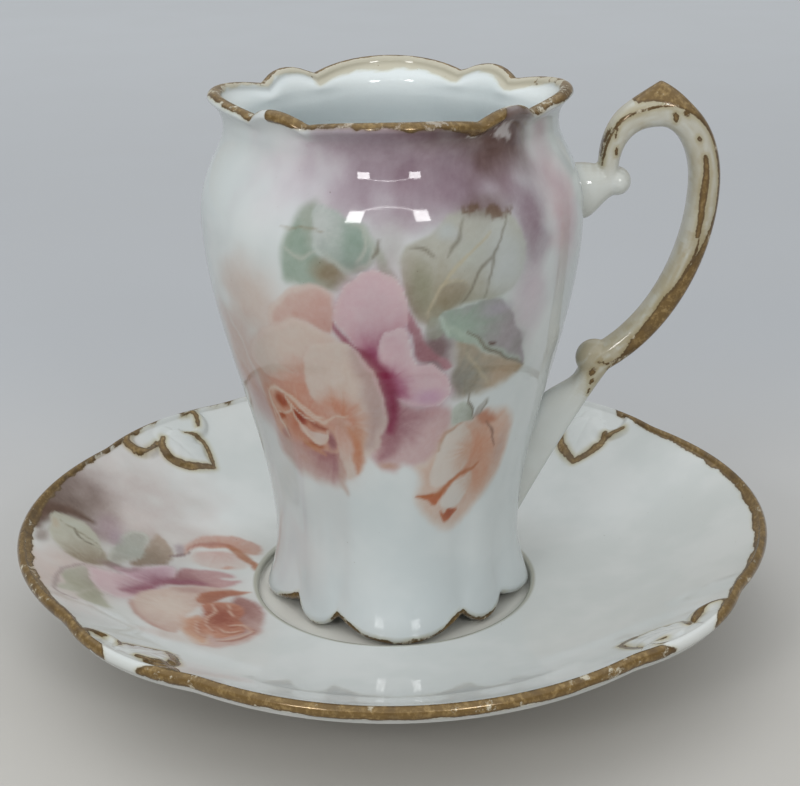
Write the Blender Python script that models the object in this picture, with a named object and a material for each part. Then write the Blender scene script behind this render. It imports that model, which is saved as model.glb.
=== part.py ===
"""Chocolate cup and saucer: a tall lobed porcelain cup with a scroll handle, standing in its saucer's well.

Metres, +Z up. The origin is the centre of the saucer's foot on the table, and the handle points along +X.
"""
import math
from collections import namedtuple

import bmesh
import bpy
from mathutils import Matrix, Vector
from mathutils.geometry import interpolate_bezier

# Fits
CONTACT_GAP = 0.0003
WELL_CLEARANCE = 0.0009

# How far the cup stands off the middle of its well, towards its handle
CUP_OFFSET = 0.0007

# Lobes around the cup and the saucer: large ones on the axes, small ones on the diagonals
LOBE_COUNT = 4
CUSP_ANGLE = math.radians(31.5)

# Facets: round a large and a small lobe, up each span of the cup's outer and inner face, and elsewhere
LARGE_LOBE_STEPS = 14
SMALL_LOBE_STEPS = 6
OUTSIDE_STEPS = (4, 9, 6, 3)
INSIDE_STEPS = (1, 6, 4, 2)
BOW_STEPS = 8
ROOT_STEPS = 5
STRAP_SIDES = 12
BEAD_SIDES = 14
BEAD_RINGS = 8
DISH_STEPS = 10
DISH_LOOKUP_STEPS = 24
RIM_STEPS = 6
RELIEF_STEPS = 8
RELIEF_SIDES = 8
SHARP_EDGE_ANGLE = math.radians(40.0)

# Cup: heights
CUP_HEIGHT = 0.0831
LIP_FLARE_HEIGHT = 0.0052
SHOULDER_HEIGHT = 0.0135
WAIST_HEIGHT = 0.0105
BASE_RECESS = 0.0040
FLOOR_THICKNESS = 0.0032
FLOOR_FILLET = 0.0050

# Cup: radii to the crest of a large lobe
LIP_RADIUS = 0.0273
NECK_RADIUS = 0.0252
BELLY_RADIUS = 0.0292
WAIST_RADIUS = 0.0198
FOOT_RADIUS = 0.0217
CUP_WALL = 0.0022
FOOT_WALL = 0.0028
FOOT_ROUND = 0.0011

# Cup: how far the diagonals are drawn in, and how deep the creases beside them are
LIP_FOLD = 0.0028
NECK_FOLD = 0.0019
BELLY_FOLD = 0.0006
WAIST_FOLD = 0.0011
FOOT_FOLD = 0.0018
LIP_CREASE = 0.0012
NECK_CREASE = 0.0006
BELLY_CREASE = 0.0002
WAIST_CREASE = 0.0007
FOOT_CREASE = 0.0012
LIP_SCALLOP = 0.0016
FOOT_SCALLOP = 0.0024

# Handle: places measured from the lip, from the belly and from the body beside it
ARM_DROP = 0.0152
ARM_STANDOFF = 0.0037
ARCH_DROP = 0.0044
ARCH_STANDOFF = 0.0113
BOW_DROP = 0.0156
BOW_STANDOFF = 0.0185
KNUCKLE_HEIGHT = 0.0393
KNUCKLE_STANDOFF = 0.0077
TAIL_HEIGHT = 0.0131
TAIL_EMBED = 0.0014

# Handle: which way its curve runs at each knot, and how strongly each knot pulls it, as a share of its span
ARM_HEADING = math.radians(93.0)
ARCH_HEADING = 0.0
BOW_HEADING = math.radians(-90.0)
KNUCKLE_HEADING = math.radians(-151.0)
TAIL_HEADING = math.radians(-117.0)
ARM_PULL = 0.66
ARCH_INNER_PULL = 0.67
ARCH_OUTER_PULL = 0.57
BOW_UPPER_PULL = 0.55
BOW_LOWER_PULL = 0.40
KNUCKLE_UPPER_PULL = 0.37
KNUCKLE_LOWER_PULL = 0.02
TAIL_PULL = 0.56

# Handle: half thickness in its own plane and half width across it, then its spur, web, eye, knuckle and root
ARM_THICKNESS = 0.00150
ARM_WIDTH = 0.0023
ARCH_THICKNESS = 0.00245
ARCH_WIDTH = 0.0028
BOW_THICKNESS = 0.00235
BOW_WIDTH = 0.0030
KNUCKLE_THICKNESS = 0.00210
KNUCKLE_WIDTH = 0.0026
TAIL_THICKNESS = 0.00125
TAIL_WIDTH = 0.0020
THUMB_SPUR_HEIGHT = 0.0015
THUMB_SPUR_LENGTH = 0.0042
THUMB_SPUR_SHARPNESS = 4
WEB_DEPTH = 0.0035
WEB_START = 0.33
WEB_RUN = 0.24
STRAP_SQUARENESS = 2.6
SCROLL_EYE_RADIUS = 0.0022
SCROLL_EYE_OFFSET = 0.0014
SCROLL_EYE_WIDTH = 0.0027
KNUCKLE_RADIUS = 0.0030
KNUCKLE_BULGE = 0.0010
ROOT_HEIGHT = 0.0043
ROOT_WIDTH = 0.0036
ROOT_DROP = 0.0014
ROOT_SQUARENESS = 2.2
ROOT_TIP_SHARE = 0.90

# Saucer
SAUCER_RADIUS = 0.0607
SAUCER_FOLD = 0.0007
SAUCER_CREASE = 0.0014
SAUCER_DEPTH = 0.0123
SAUCER_WALL = 0.0028
SAUCER_RIM = 0.0021
WELL_DEPTH = 0.0015
WELL_EDGE_ROUND = 0.0007
SAUCER_FOOT_HEIGHT = 0.0025
SAUCER_FOOT_RADIUS = 0.0290
SAUCER_FOOT_WIDTH = 0.0032
SAUCER_FOOT_DRAFT = 0.0008
SAUCER_FOOT_BLEND = 0.0050
SAUCER_TURN = math.radians(2.5)

# Saucer: how the curve of its dish leaves the well and reaches the rim, as shares of its width and depth
WELL_SIDE_RUN = 0.45
WELL_SIDE_RISE = 0.03
RIM_SIDE_RUN = 0.30
RIM_SIDE_RISE = 0.50

# Raised leaf and scrolls in each corner of the saucer
LEAF_SETBACK = 0.0044
LEAF_LENGTH = 0.0098
LEAF_LEAN = 0.0018
LEAF_HALF_WIDTH = 0.0042
LEAF_RELIEF = 0.0009
SCROLL_SETBACK = 0.0042
SCROLL_SPACING = 0.0058
SCROLL_RADIUS = 0.0024
SCROLL_SWEEP = math.radians(230.0)
SCROLL_HALF_WIDTH = 0.0009
SCROLL_RELIEF = 0.0008
LEAF_TIP = 0.15
LEAF_BASE = 0.12
LEAF_BELLY = 0.7
SCROLL_END = 0.55
RELIEF_ROUNDNESS = 2.0

# Sizes that follow from the ones above
NECK_HEIGHT = CUP_HEIGHT - LIP_FLARE_HEIGHT
BELLY_HEIGHT = NECK_HEIGHT - SHOULDER_HEIGHT
WELL_RADIUS = FOOT_RADIUS + CUP_OFFSET + WELL_CLEARANCE
WELL_FLOOR_HEIGHT = SAUCER_FOOT_HEIGHT + SAUCER_WALL
WELL_EDGE_HEIGHT = WELL_FLOOR_HEIGHT + WELL_DEPTH
CUP_SEAT_HEIGHT = WELL_FLOOR_HEIGHT + CONTACT_GAP
SCROLL_EYE = Vector((BELLY_RADIUS + ARM_STANDOFF + SCROLL_EYE_OFFSET, 0.0, CUP_HEIGHT - ARM_DROP))

UP = Vector((0.0, 0.0, 1.0))
ACROSS_HANDLE = Vector((0.0, -1.0, 0.0))

LobePoint = namedtuple("LobePoint", "angle crest fold")
Ring = namedtuple("Ring", "radius height fold crease scallop")
Station = namedtuple("Station", "centre outward across thickness width spur web", defaults=(0.0, 0.0))


def smooth_step(share):
    """Ease from 0 to 1 with level ends."""
    share = min(max(share, 0.0), 1.0)
    return share * share * (3.0 - 2.0 * share)


def lobe_points():
    """Points round the outline, one on every cusp, with how far each is up its lobe and into a diagonal."""
    quarter = math.tau / LOBE_COUNT
    small_half = quarter / 2.0 - CUSP_ANGLE
    points = []
    for lobe in range(LOBE_COUNT):
        for step in range(LARGE_LOBE_STEPS):
            across = 2.0 * step / LARGE_LOBE_STEPS - 1.0
            angle = lobe * quarter + across * CUSP_ANGLE
            points.append((angle, across))
        for step in range(SMALL_LOBE_STEPS):
            across = 2.0 * step / SMALL_LOBE_STEPS - 1.0
            angle = (lobe + 0.5) * quarter + across * small_half
            points.append((angle, across))
    return [
        LobePoint(angle, 1.0 - across * across, (1.0 - math.cos(LOBE_COUNT * angle)) / 2.0)
        for angle, across in points
    ]


LOBE_POINTS = lobe_points()


def ring_points(ring):
    """The points of one lobed ring."""
    points = []
    for point in LOBE_POINTS:
        hollow = 1.0 - point.crest
        reach = ring.radius - ring.fold * point.fold - ring.crease * hollow
        points.append(
            Vector((
                reach * math.cos(point.angle),
                reach * math.sin(point.angle),
                ring.height + ring.scallop * hollow,
            ))
        )
    return points


def plain_ring(radius, height):
    """A round ring with no lobes."""
    return Ring(radius, height, 0.0, 0.0, 0.0)


def loft(name, loops):
    """A closed mesh over loops of points, capped at both ends."""
    shape = bmesh.new()
    rows = [[shape.verts.new(point) for point in loop] for loop in loops]
    for low, high in zip(rows, rows[1:]):
        for index, start in enumerate(low):
            after = (index + 1) % len(low)
            shape.faces.new((start, low[after], high[after], high[index]))
    shape.faces.new(list(reversed(rows[0])))
    shape.faces.new(rows[-1])
    mesh = bpy.data.meshes.new(name)
    shape.to_mesh(mesh)
    shape.free()
    mesh.shade_smooth()
    mesh.set_sharp_from_angle(angle=SHARP_EDGE_ANGLE)
    return mesh


def place(name, mesh, parent=None):
    """Put a mesh into the scene as a named piece."""
    piece = bpy.data.objects.new(name, mesh)
    bpy.context.scene.collection.objects.link(piece)
    piece.parent = parent
    return piece


def hide_as_tool(piece):
    """Mark a shape that only cuts or joins another one."""
    piece.hide_render = True
    piece.display_type = "WIRE"
    return piece


def combine(piece, tool, operation):
    """Cut a piece with a tool, or join the tool to it."""
    change = piece.modifiers.new(tool.name, "BOOLEAN")
    change.operation = operation
    change.object = tool


def glazed_porcelain(name, colour, roughness):
    """White fired porcelain under a clear glaze."""
    material = bpy.data.materials.new(name)
    material.use_nodes = True
    shader = material.node_tree.nodes["Principled BSDF"]
    shader.inputs["Base Color"].default_value = (*colour, 1.0)
    shader.inputs["Roughness"].default_value = roughness
    shader.inputs["Metallic"].default_value = 0.0
    return material


def profile_span(low, low_handle, high_handle, high, steps):
    """Rings from one level of the cup's profile to the next, along a Bezier curve in radius and height."""
    curve = interpolate_bezier(
        (low.radius, low.height), low_handle, high_handle, (high.radius, high.height), steps + 1
    )
    rings = []
    for point in curve:
        share = smooth_step((point[1] - low.height) / (high.height - low.height))
        rings.append(
            Ring(
                point[0],
                point[1],
                low.fold + share * (high.fold - low.fold),
                low.crease + share * (high.crease - low.crease),
                low.scallop + share * (high.scallop - low.scallop),
            )
        )
    return rings


def cup_outside(steps):
    """Rings up the cup's outer face, from the foot's edge through waist, belly and neck to the lip."""
    foot = Ring(FOOT_RADIUS, FOOT_ROUND, FOOT_FOLD, FOOT_CREASE, FOOT_SCALLOP)
    waist = Ring(WAIST_RADIUS, WAIST_HEIGHT, WAIST_FOLD, WAIST_CREASE, 0.0)
    belly = Ring(BELLY_RADIUS, BELLY_HEIGHT, BELLY_FOLD, BELLY_CREASE, 0.0)
    neck = Ring(NECK_RADIUS, NECK_HEIGHT, NECK_FOLD, NECK_CREASE, 0.0)
    lip = Ring(LIP_RADIUS, CUP_HEIGHT - CUP_WALL / 2.0, LIP_FOLD, LIP_CREASE, -LIP_SCALLOP)
    taper = (BELLY_HEIGHT - WAIST_HEIGHT) / 3.0
    shoulder = SHOULDER_HEIGHT / 2.0
    skirt = (WAIST_HEIGHT - FOOT_ROUND) / 3.0
    flare = (lip.height - NECK_HEIGHT) / 2.0
    skirt_slope = 0.5 * (FOOT_RADIUS - WAIST_RADIUS)
    flare_slope = 0.5 * (LIP_RADIUS - NECK_RADIUS)
    spans = [
        profile_span(
            foot, (FOOT_RADIUS - skirt_slope, FOOT_ROUND + skirt), (WAIST_RADIUS, WAIST_HEIGHT - skirt),
            waist, steps[0]
        ),
        profile_span(
            waist, (WAIST_RADIUS, WAIST_HEIGHT + taper), (BELLY_RADIUS, BELLY_HEIGHT - taper), belly, steps[1]
        ),
        profile_span(
            belly, (BELLY_RADIUS, BELLY_HEIGHT + shoulder), (NECK_RADIUS, NECK_HEIGHT - shoulder / 2.0),
            neck, steps[2]
        ),
        profile_span(
            neck, (NECK_RADIUS, NECK_HEIGHT + flare), (LIP_RADIUS - flare_slope, lip.height - flare / 2.0),
            lip, steps[3]
        ),
    ]
    return spans[0] + [ring for span in spans[1:] for ring in span[1:]]


def moved_in(ring, distance):
    """The same ring, drawn in by a wall's thickness."""
    return ring._replace(radius=ring.radius - distance)


def body_radius(height):
    """Radius of the cup's outer face at a height, along a large lobe's crest."""
    rings = cup_outside(OUTSIDE_STEPS)
    for low, high in zip(rings, rings[1:]):
        if low.height <= height <= high.height:
            share = (height - low.height) / (high.height - low.height)
            return low.radius + share * (high.radius - low.radius)
    return rings[-1].radius


def build_cup_body(parent):
    """The cup's wall, lip, floor and scalloped hollow foot."""
    outside = cup_outside(OUTSIDE_STEPS)
    foot = outside[0]
    lip = outside[-1]
    floor_height = BASE_RECESS + FLOOR_THICKNESS
    recess_ring = plain_ring(FOOT_RADIUS - FOOT_FOLD - FOOT_CREASE - FOOT_WALL, BASE_RECESS)
    foot_round = [
        foot._replace(
            radius=foot.radius - FOOT_ROUND * (1.0 - math.sin(turn)),
            height=FOOT_ROUND * (1.0 - math.cos(turn)),
        )
        for turn in (0.0, math.pi / 4.0)
    ]
    underside = [recess_ring, moved_in(foot, FOOT_WALL)._replace(height=0.0)] + foot_round
    lip_round = [
        lip._replace(
            radius=lip.radius - CUP_WALL / 2.0 * (1.0 - math.cos(turn)),
            height=lip.height + CUP_WALL / 2.0 * math.sin(turn),
        )
        for turn in (math.pi / 4.0, math.pi / 2.0, 3.0 * math.pi / 4.0)
    ]
    inside = [
        moved_in(ring, CUP_WALL)
        for ring in reversed(cup_outside(INSIDE_STEPS))
        if ring.height > floor_height + FLOOR_FILLET
    ]
    lowest = inside[-1]
    corner = [
        lowest._replace(
            radius=lowest.radius - FLOOR_FILLET * (1.0 - math.cos(turn)),
            height=floor_height + FLOOR_FILLET * (1.0 - math.sin(turn)),
        )
        for turn in (math.pi / 6.0, math.pi / 3.0, math.pi / 2.0)
    ]
    rings = underside + outside + lip_round + inside + corner
    return place("cup_body", loft("cup_body", [ring_points(ring) for ring in rings]), parent)


def bezier_stations(knots, steps):
    """Stations along a chain of Bezier spans in the handle's plane."""
    stations = []
    for start, end in zip(knots, knots[1:]):
        curve = interpolate_bezier(
            start["place"],
            start["place"] + start["heading"] * start["lead"],
            end["place"] - end["heading"] * end["trail"],
            end["place"],
            steps + 1,
        )
        for index, point in enumerate(curve[:-1] if end is not knots[-1] else curve):
            share = smooth_step(index / steps)
            thickness = start["thickness"] + share * (end["thickness"] - start["thickness"])
            width = start["width"] + share * (end["width"] - start["width"])
            stations.append((Vector(point), thickness, width))
    return stations


def heading(angle):
    """A unit direction in the handle's plane."""
    return Vector((math.cos(angle), math.sin(angle)))


def handle_bow():
    """Stations of the handle from the scroll eye over the arch, down the bow and the strut to the tail."""
    arm = Vector((BELLY_RADIUS + ARM_STANDOFF, CUP_HEIGHT - ARM_DROP))
    arch = Vector((BELLY_RADIUS + ARCH_STANDOFF, CUP_HEIGHT - ARCH_DROP))
    bow = Vector((BELLY_RADIUS + BOW_STANDOFF, CUP_HEIGHT - BOW_DROP))
    knuckle = Vector((body_radius(KNUCKLE_HEIGHT) + KNUCKLE_STANDOFF, KNUCKLE_HEIGHT))
    tail = Vector((body_radius(TAIL_HEIGHT) - TAIL_EMBED, TAIL_HEIGHT))
    fall = bow.y - knuckle.y
    strut = (knuckle - tail).length
    knots = [
        dict(place=arm, heading=heading(ARM_HEADING), trail=0.0, lead=ARM_PULL * (arch.y - arm.y),
             thickness=ARM_THICKNESS, width=ARM_WIDTH),
        dict(place=arch, heading=heading(ARCH_HEADING),
             trail=ARCH_INNER_PULL * (arch.x - arm.x), lead=ARCH_OUTER_PULL * (bow.x - arch.x),
             thickness=ARCH_THICKNESS, width=ARCH_WIDTH),
        dict(place=bow, heading=heading(BOW_HEADING),
             trail=BOW_UPPER_PULL * (arch.y - bow.y), lead=BOW_LOWER_PULL * fall,
             thickness=BOW_THICKNESS, width=BOW_WIDTH),
        dict(place=knuckle, heading=heading(KNUCKLE_HEADING),
             trail=KNUCKLE_UPPER_PULL * fall, lead=KNUCKLE_LOWER_PULL * strut,
             thickness=KNUCKLE_THICKNESS, width=KNUCKLE_WIDTH),
        dict(place=tail, heading=heading(TAIL_HEADING), trail=TAIL_PULL * strut, lead=0.0,
             thickness=TAIL_THICKNESS, width=TAIL_WIDTH),
    ]
    points = bezier_stations(knots, BOW_STEPS)
    strut_start = (len(knots) - 2) * BOW_STEPS
    stations = []
    for index, (point, thickness, width) in enumerate(points):
        before = points[max(index - 1, 0)][0]
        after = points[min(index + 1, len(points) - 1)][0]
        along = (after - before).normalized()
        outward = Vector((-along.y, 0.0, along.x))
        centre = Vector((point.x, 0.0, point.y))
        past_arch = (point - arch).length / THUMB_SPUR_LENGTH
        spur = THUMB_SPUR_HEIGHT * max(0.0, 1.0 - past_arch) ** 2
        down_strut = (index - strut_start) / BOW_STEPS
        web = WEB_DEPTH * smooth_step((down_strut - WEB_START) / WEB_RUN)
        stations.append(Station(centre, outward, ACROSS_HANDLE, thickness, width, spur, web))
    return stations


def strap_loop(station, sides=STRAP_SIDES, squareness=STRAP_SQUARENESS):
    """A rounded section across a sweep; the spur raises its outer ridge, the web draws out its inner side."""
    loop = []
    for side in range(sides):
        turn = math.tau * side / sides
        out = math.copysign(abs(math.cos(turn)) ** (2.0 / squareness), math.cos(turn))
        across = math.copysign(abs(math.sin(turn)) ** (2.0 / squareness), math.sin(turn))
        reach = out * station.thickness
        reach += station.spur * max(math.cos(turn), 0.0) ** THUMB_SPUR_SHARPNESS
        reach -= station.web * max(-math.cos(turn), 0.0)
        loop.append(station.centre + station.outward * reach + station.across * (across * station.width))
    return loop


def bead(name, centre, radius, half_width):
    """A round boss, wider across the handle than in its plane."""
    shape = bmesh.new()
    size = Matrix.LocRotScale(centre, None, Vector((radius, half_width, radius)))
    bmesh.ops.create_uvsphere(shape, u_segments=BEAD_SIDES, v_segments=BEAD_RINGS, radius=1.0, matrix=size)
    mesh = bpy.data.meshes.new(name)
    shape.to_mesh(mesh)
    shape.free()
    return mesh


def handle_root():
    """Stations of the short root from the cup's shoulder, where it flares and sags, to the scroll eye."""
    inner = BELLY_RADIUS - CUP_WALL
    tip_height = ROOT_TIP_SHARE * SCROLL_EYE_RADIUS
    stations = []
    for step in range(ROOT_STEPS + 1):
        out = inner + step / ROOT_STEPS * (SCROLL_EYE.x - inner)
        neck = smooth_step((out - BELLY_RADIUS) / (SCROLL_EYE.x - BELLY_RADIUS))
        stations.append(
            Station(
                Vector((out, 0.0, SCROLL_EYE.z - ROOT_DROP * (1.0 - neck))),
                UP,
                ACROSS_HANDLE,
                ROOT_HEIGHT + neck * (tip_height - ROOT_HEIGHT),
                ROOT_WIDTH + neck * (ARM_WIDTH - ROOT_WIDTH),
            )
        )
    return stations


def build_cup_handle(parent):
    """The scroll handle: bow, root, scroll eye and knuckle in one casting, trimmed to sit on the body."""
    handle = place("cup_handle", loft("cup_handle", [strap_loop(s) for s in handle_bow()]), parent)
    knuckle = Vector((
        body_radius(KNUCKLE_HEIGHT) + KNUCKLE_STANDOFF - KNUCKLE_BULGE, 0.0, KNUCKLE_HEIGHT
    ))
    joined = [
        ("root", loft("root", [strap_loop(s, squareness=ROOT_SQUARENESS) for s in handle_root()])),
        ("scroll_eye", bead("scroll_eye", SCROLL_EYE, SCROLL_EYE_RADIUS, SCROLL_EYE_WIDTH)),
        ("knuckle", bead("knuckle", knuckle, KNUCKLE_RADIUS, KNUCKLE_WIDTH)),
    ]
    for name, mesh in joined:
        combine(handle, hide_as_tool(place(name, mesh, parent)), "UNION")
    grown = [moved_in(ring, -CONTACT_GAP) for ring in cup_outside(OUTSIDE_STEPS)]
    seat = loft("body_seat", [ring_points(ring) for ring in grown])
    combine(handle, hide_as_tool(place("body_seat", seat, parent)), "DIFFERENCE")
    return handle


def saucer_dish(steps):
    """Points (radius, height) along the dish's upper face, from the well's edge to the rim."""
    run = SAUCER_RADIUS - WELL_RADIUS
    low = Vector((WELL_RADIUS, WELL_EDGE_HEIGHT))
    high = Vector((SAUCER_RADIUS, WELL_EDGE_HEIGHT + SAUCER_DEPTH))
    low_handle = low + Vector((WELL_SIDE_RUN * run, WELL_SIDE_RISE * SAUCER_DEPTH))
    high_handle = high - Vector((RIM_SIDE_RUN * run, RIM_SIDE_RISE * SAUCER_DEPTH))
    return interpolate_bezier(low, low_handle, high_handle, high, steps + 1)


def dish_lobing(radius):
    """How fully the lobes show at a radius of the dish: not at the well, wholly at the rim."""
    return max((radius - WELL_RADIUS) / (SAUCER_RADIUS - WELL_RADIUS), 0.0) ** 3


def dish_ring(point, lift=0.0, spread=0.0):
    """A ring of the dish, lobed more and more towards the rim."""
    lobing = dish_lobing(point[0])
    return Ring(
        point[0] + spread, point[1] + lift, SAUCER_FOLD * lobing, SAUCER_CREASE * lobing, 0.0
    )


def dish_height(radius):
    """Height of the dish's upper face at a radius."""
    points = saucer_dish(DISH_LOOKUP_STEPS)
    for low, high in zip(points, points[1:]):
        if low[0] <= radius <= high[0]:
            share = (radius - low[0]) / (high[0] - low[0])
            return low[1] + share * (high[1] - low[1])
    return points[-1][1]


def on_dish(out, aside, corner):
    """A point on the dish, by its distance out along a corner's diagonal and aside from it."""
    turn = Matrix.Rotation((corner + 0.5) * math.tau / LOBE_COUNT, 3, "Z")
    radius = math.hypot(out, aside)
    return turn @ Vector((out, aside, dish_height(radius + SAUCER_FOLD * dish_lobing(radius))))


def relief_stations(path, relief, half_width, swelling):
    """Stations along a path on the dish for a raised band, from where it starts to where it ends."""
    stations = []
    for index, point in enumerate(path):
        before = path[max(index - 1, 0)]
        after = path[min(index + 1, len(path) - 1)]
        across = (after - before).cross(UP).normalized()
        swell = swelling(index / (len(path) - 1))
        stations.append(Station(point, UP, across, relief * swell, half_width * swell))
    return stations


def leaf_swelling(share):
    """A leaf: broad near its base and drawn out to a point."""
    bend = LEAF_BASE + (1.0 - LEAF_BASE) * share ** LEAF_BELLY
    return LEAF_TIP + (1.0 - LEAF_TIP) * math.sin(math.pi * bend)


def scroll_swelling(share):
    """A scroll: full at its middle, thinner at both ends."""
    return SCROLL_END + (1.0 - SCROLL_END) * math.sin(math.pi * share)


def add_corner_relief(saucer, corner):
    """Join a raised leaf, pointing to the well, with a scroll on each side, to one corner of the saucer."""
    leaf_base = SAUCER_RADIUS - LEAF_SETBACK
    scroll_middle = SAUCER_RADIUS - SCROLL_SETBACK
    shares = [step / RELIEF_STEPS for step in range(RELIEF_STEPS + 1)]
    leaf = [on_dish(leaf_base - LEAF_LENGTH * share, -LEAF_LEAN * share, corner) for share in shares]
    bands = [("leaf", relief_stations(leaf, LEAF_RELIEF, LEAF_HALF_WIDTH, leaf_swelling))]
    for side in (-1.0, 1.0):
        arc = [
            on_dish(
                scroll_middle + SCROLL_RADIUS * math.cos(SCROLL_SWEEP * share),
                side * (SCROLL_SPACING + SCROLL_RADIUS * math.sin(SCROLL_SWEEP * share)),
                corner,
            )
            for share in shares
        ]
        bands.append(("scroll", relief_stations(arc, SCROLL_RELIEF, SCROLL_HALF_WIDTH, scroll_swelling)))
    for name, stations in bands:
        mesh = loft(name, [strap_loop(station, RELIEF_SIDES, RELIEF_ROUNDNESS) for station in stations])
        combine(saucer, hide_as_tool(place(name, mesh, saucer)), "UNION")


def build_saucer():
    """The saucer: foot ring, dish with a lobed rim, and the sunk well that the cup stands in."""
    dish = saucer_dish(DISH_STEPS)
    foot_inner = SAUCER_FOOT_RADIUS - SAUCER_FOOT_WIDTH
    half_rim = SAUCER_RIM / 2.0
    below = [
        plain_ring(foot_inner - SAUCER_FOOT_DRAFT, SAUCER_FOOT_HEIGHT),
        plain_ring(foot_inner, 0.0),
        plain_ring(SAUCER_FOOT_RADIUS, 0.0),
        plain_ring(SAUCER_FOOT_RADIUS + SAUCER_FOOT_DRAFT, SAUCER_FOOT_HEIGHT),
    ]
    last = len(dish) - 1
    under = []
    for index, point in enumerate(dish):
        share = index / last
        wall = SAUCER_WALL + share ** 2 * (SAUCER_RIM - SAUCER_WALL)
        if point[0] > SAUCER_FOOT_RADIUS + SAUCER_FOOT_BLEND and index < last:
            under.append(dish_ring(point, lift=-wall))
    edge = dish[-1]
    rim = [
        dish_ring(edge, lift=half_rim * (math.sin(turn) - 1.0), spread=half_rim * (math.cos(turn) - 1.0))
        for turn in (math.pi * (step / RIM_STEPS - 0.5) for step in range(1, RIM_STEPS))
    ]
    above = [dish_ring(point) for point in reversed(dish[:-1])]
    well = [
        plain_ring(WELL_RADIUS - WELL_EDGE_ROUND, WELL_EDGE_HEIGHT - WELL_EDGE_ROUND),
        plain_ring(WELL_RADIUS - WELL_EDGE_ROUND, WELL_FLOOR_HEIGHT),
    ]
    rings = below + under + rim + above + well
    saucer = place("saucer", loft("saucer", [ring_points(ring) for ring in rings]))
    saucer.rotation_euler.z = SAUCER_TURN
    for corner in range(LOBE_COUNT):
        add_corner_relief(saucer, corner)
    return saucer


def main():
    for old in list(bpy.data.objects):
        bpy.data.objects.remove(old, do_unlink=True)
    lift_axis = bpy.data.objects.new("cup_lift_axis", None)
    bpy.context.scene.collection.objects.link(lift_axis)
    lift_axis.location = (CUP_OFFSET, 0.0, CUP_SEAT_HEIGHT)
    pieces = {
        build_saucer(): glazed_porcelain("saucer_glaze", (0.86, 0.87, 0.86), 0.08),
        build_cup_body(lift_axis): glazed_porcelain("cup_glaze", (0.88, 0.88, 0.87), 0.07),
        build_cup_handle(lift_axis): glazed_porcelain("handle_glaze", (0.87, 0.85, 0.80), 0.10),
    }
    for piece, glaze in pieces.items():
        piece.data.materials.append(glaze)


main()
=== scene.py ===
# %% [markdown]
# # A chocolate cup and its saucer
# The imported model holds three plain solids: a tall lobed cup, its scroll handle and a lobed saucer.
# This lesson dresses them as old painted porcelain, with a spray of roses and worn gilding.
# The solids stay where they are, and each visible skin is modelled afresh over the one it stands for.

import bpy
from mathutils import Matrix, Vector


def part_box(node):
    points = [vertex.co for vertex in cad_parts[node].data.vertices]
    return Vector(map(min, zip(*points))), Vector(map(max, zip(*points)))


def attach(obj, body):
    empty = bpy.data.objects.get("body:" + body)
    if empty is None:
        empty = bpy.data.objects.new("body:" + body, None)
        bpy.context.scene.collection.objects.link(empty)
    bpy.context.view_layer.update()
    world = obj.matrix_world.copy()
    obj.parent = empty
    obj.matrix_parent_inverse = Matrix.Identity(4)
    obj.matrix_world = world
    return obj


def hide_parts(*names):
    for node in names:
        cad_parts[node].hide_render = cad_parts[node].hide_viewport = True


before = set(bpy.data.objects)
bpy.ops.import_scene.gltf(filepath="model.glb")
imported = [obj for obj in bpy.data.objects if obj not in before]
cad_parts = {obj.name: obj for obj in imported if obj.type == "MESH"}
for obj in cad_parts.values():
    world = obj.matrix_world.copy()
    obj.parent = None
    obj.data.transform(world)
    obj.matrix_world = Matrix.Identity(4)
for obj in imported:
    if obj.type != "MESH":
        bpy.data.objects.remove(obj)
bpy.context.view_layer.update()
print("solids:", sorted(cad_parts))

# %% [markdown]
# ## Units and levels
# Porcelain is measured in millimetres, so the shapes below are too, and they are turned into metres
# only when a mesh is made. The levels that the pieces share are read from the solids.

# %% Units and levels
import math

import bpy
import numpy as np
from mathutils import Matrix, Vector

MM = 0.001


def box_of(node):
    """Lowest and highest corner of a solid, in millimetres."""
    low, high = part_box(node)
    return np.array(low) / MM, np.array(high) / MM


cup_low, cup_high = box_of("cup_body")
_, saucer_high = box_of("saucer")
CUP_SEAT = cup_low[2]
CUP_HEIGHT = cup_high[2] - cup_low[2]
CUP_AXIS = (cup_low[0] + cup_high[0]) / 2.0
BELLY_RADIUS = (cup_high[0] - cup_low[0]) / 2.0
RIM_HEIGHT = saucer_high[2]
CUP_PLACE = np.array((CUP_AXIS, 0.0, CUP_SEAT))
print(f"cup {CUP_HEIGHT:.1f} mm tall, belly radius {BELLY_RADIUS:.1f} mm, standing at", CUP_PLACE.round(1))

# %% [markdown]
# ## Lobes
# Cup and saucer are both pressed into eight lobes: four broad ones on the axes and four narrow ones on
# the diagonals. A round outline could be bent by a sum of waves, but a lobe is an arc that meets the next
# one in a cusp. So each lobe here is a parabola, 0 on its crest and 1 in the cusp, and the cusps are
# blurred where the glaze has filled them.

# %% Lobes
LOBE_COUNT = 4
QUARTER = math.tau / LOBE_COUNT
CUSP_ANGLE = math.radians(31.5)
BLUR_SAMPLES = np.linspace(-1.0, 1.0, 9)


def hollow_at(angle):
    """How far an angle lies from its lobe's crest: 0 on the crest, 1 in the cusp."""
    from_axis = np.abs((angle + QUARTER / 2.0) % QUARTER - QUARTER / 2.0)
    broad = (from_axis / CUSP_ANGLE) ** 2
    narrow = ((QUARTER / 2.0 - from_axis) / (QUARTER / 2.0 - CUSP_ANGLE)) ** 2
    return np.where(from_axis <= CUSP_ANGLE, broad, narrow)


def soft_hollow(angles, blur):
    """The same, with each cusp blurred over some degrees; one row for each blur."""
    spread = np.radians(blur)[:, None, None] * BLUR_SAMPLES
    return hollow_at(angles[None, :, None] + spread).mean(axis=2)


def fold_at(angle):
    """0 on the axes, 1 on the diagonals, where the whole outline is drawn in."""
    return (1.0 - np.cos(LOBE_COUNT * angle)) / 2.0


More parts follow.
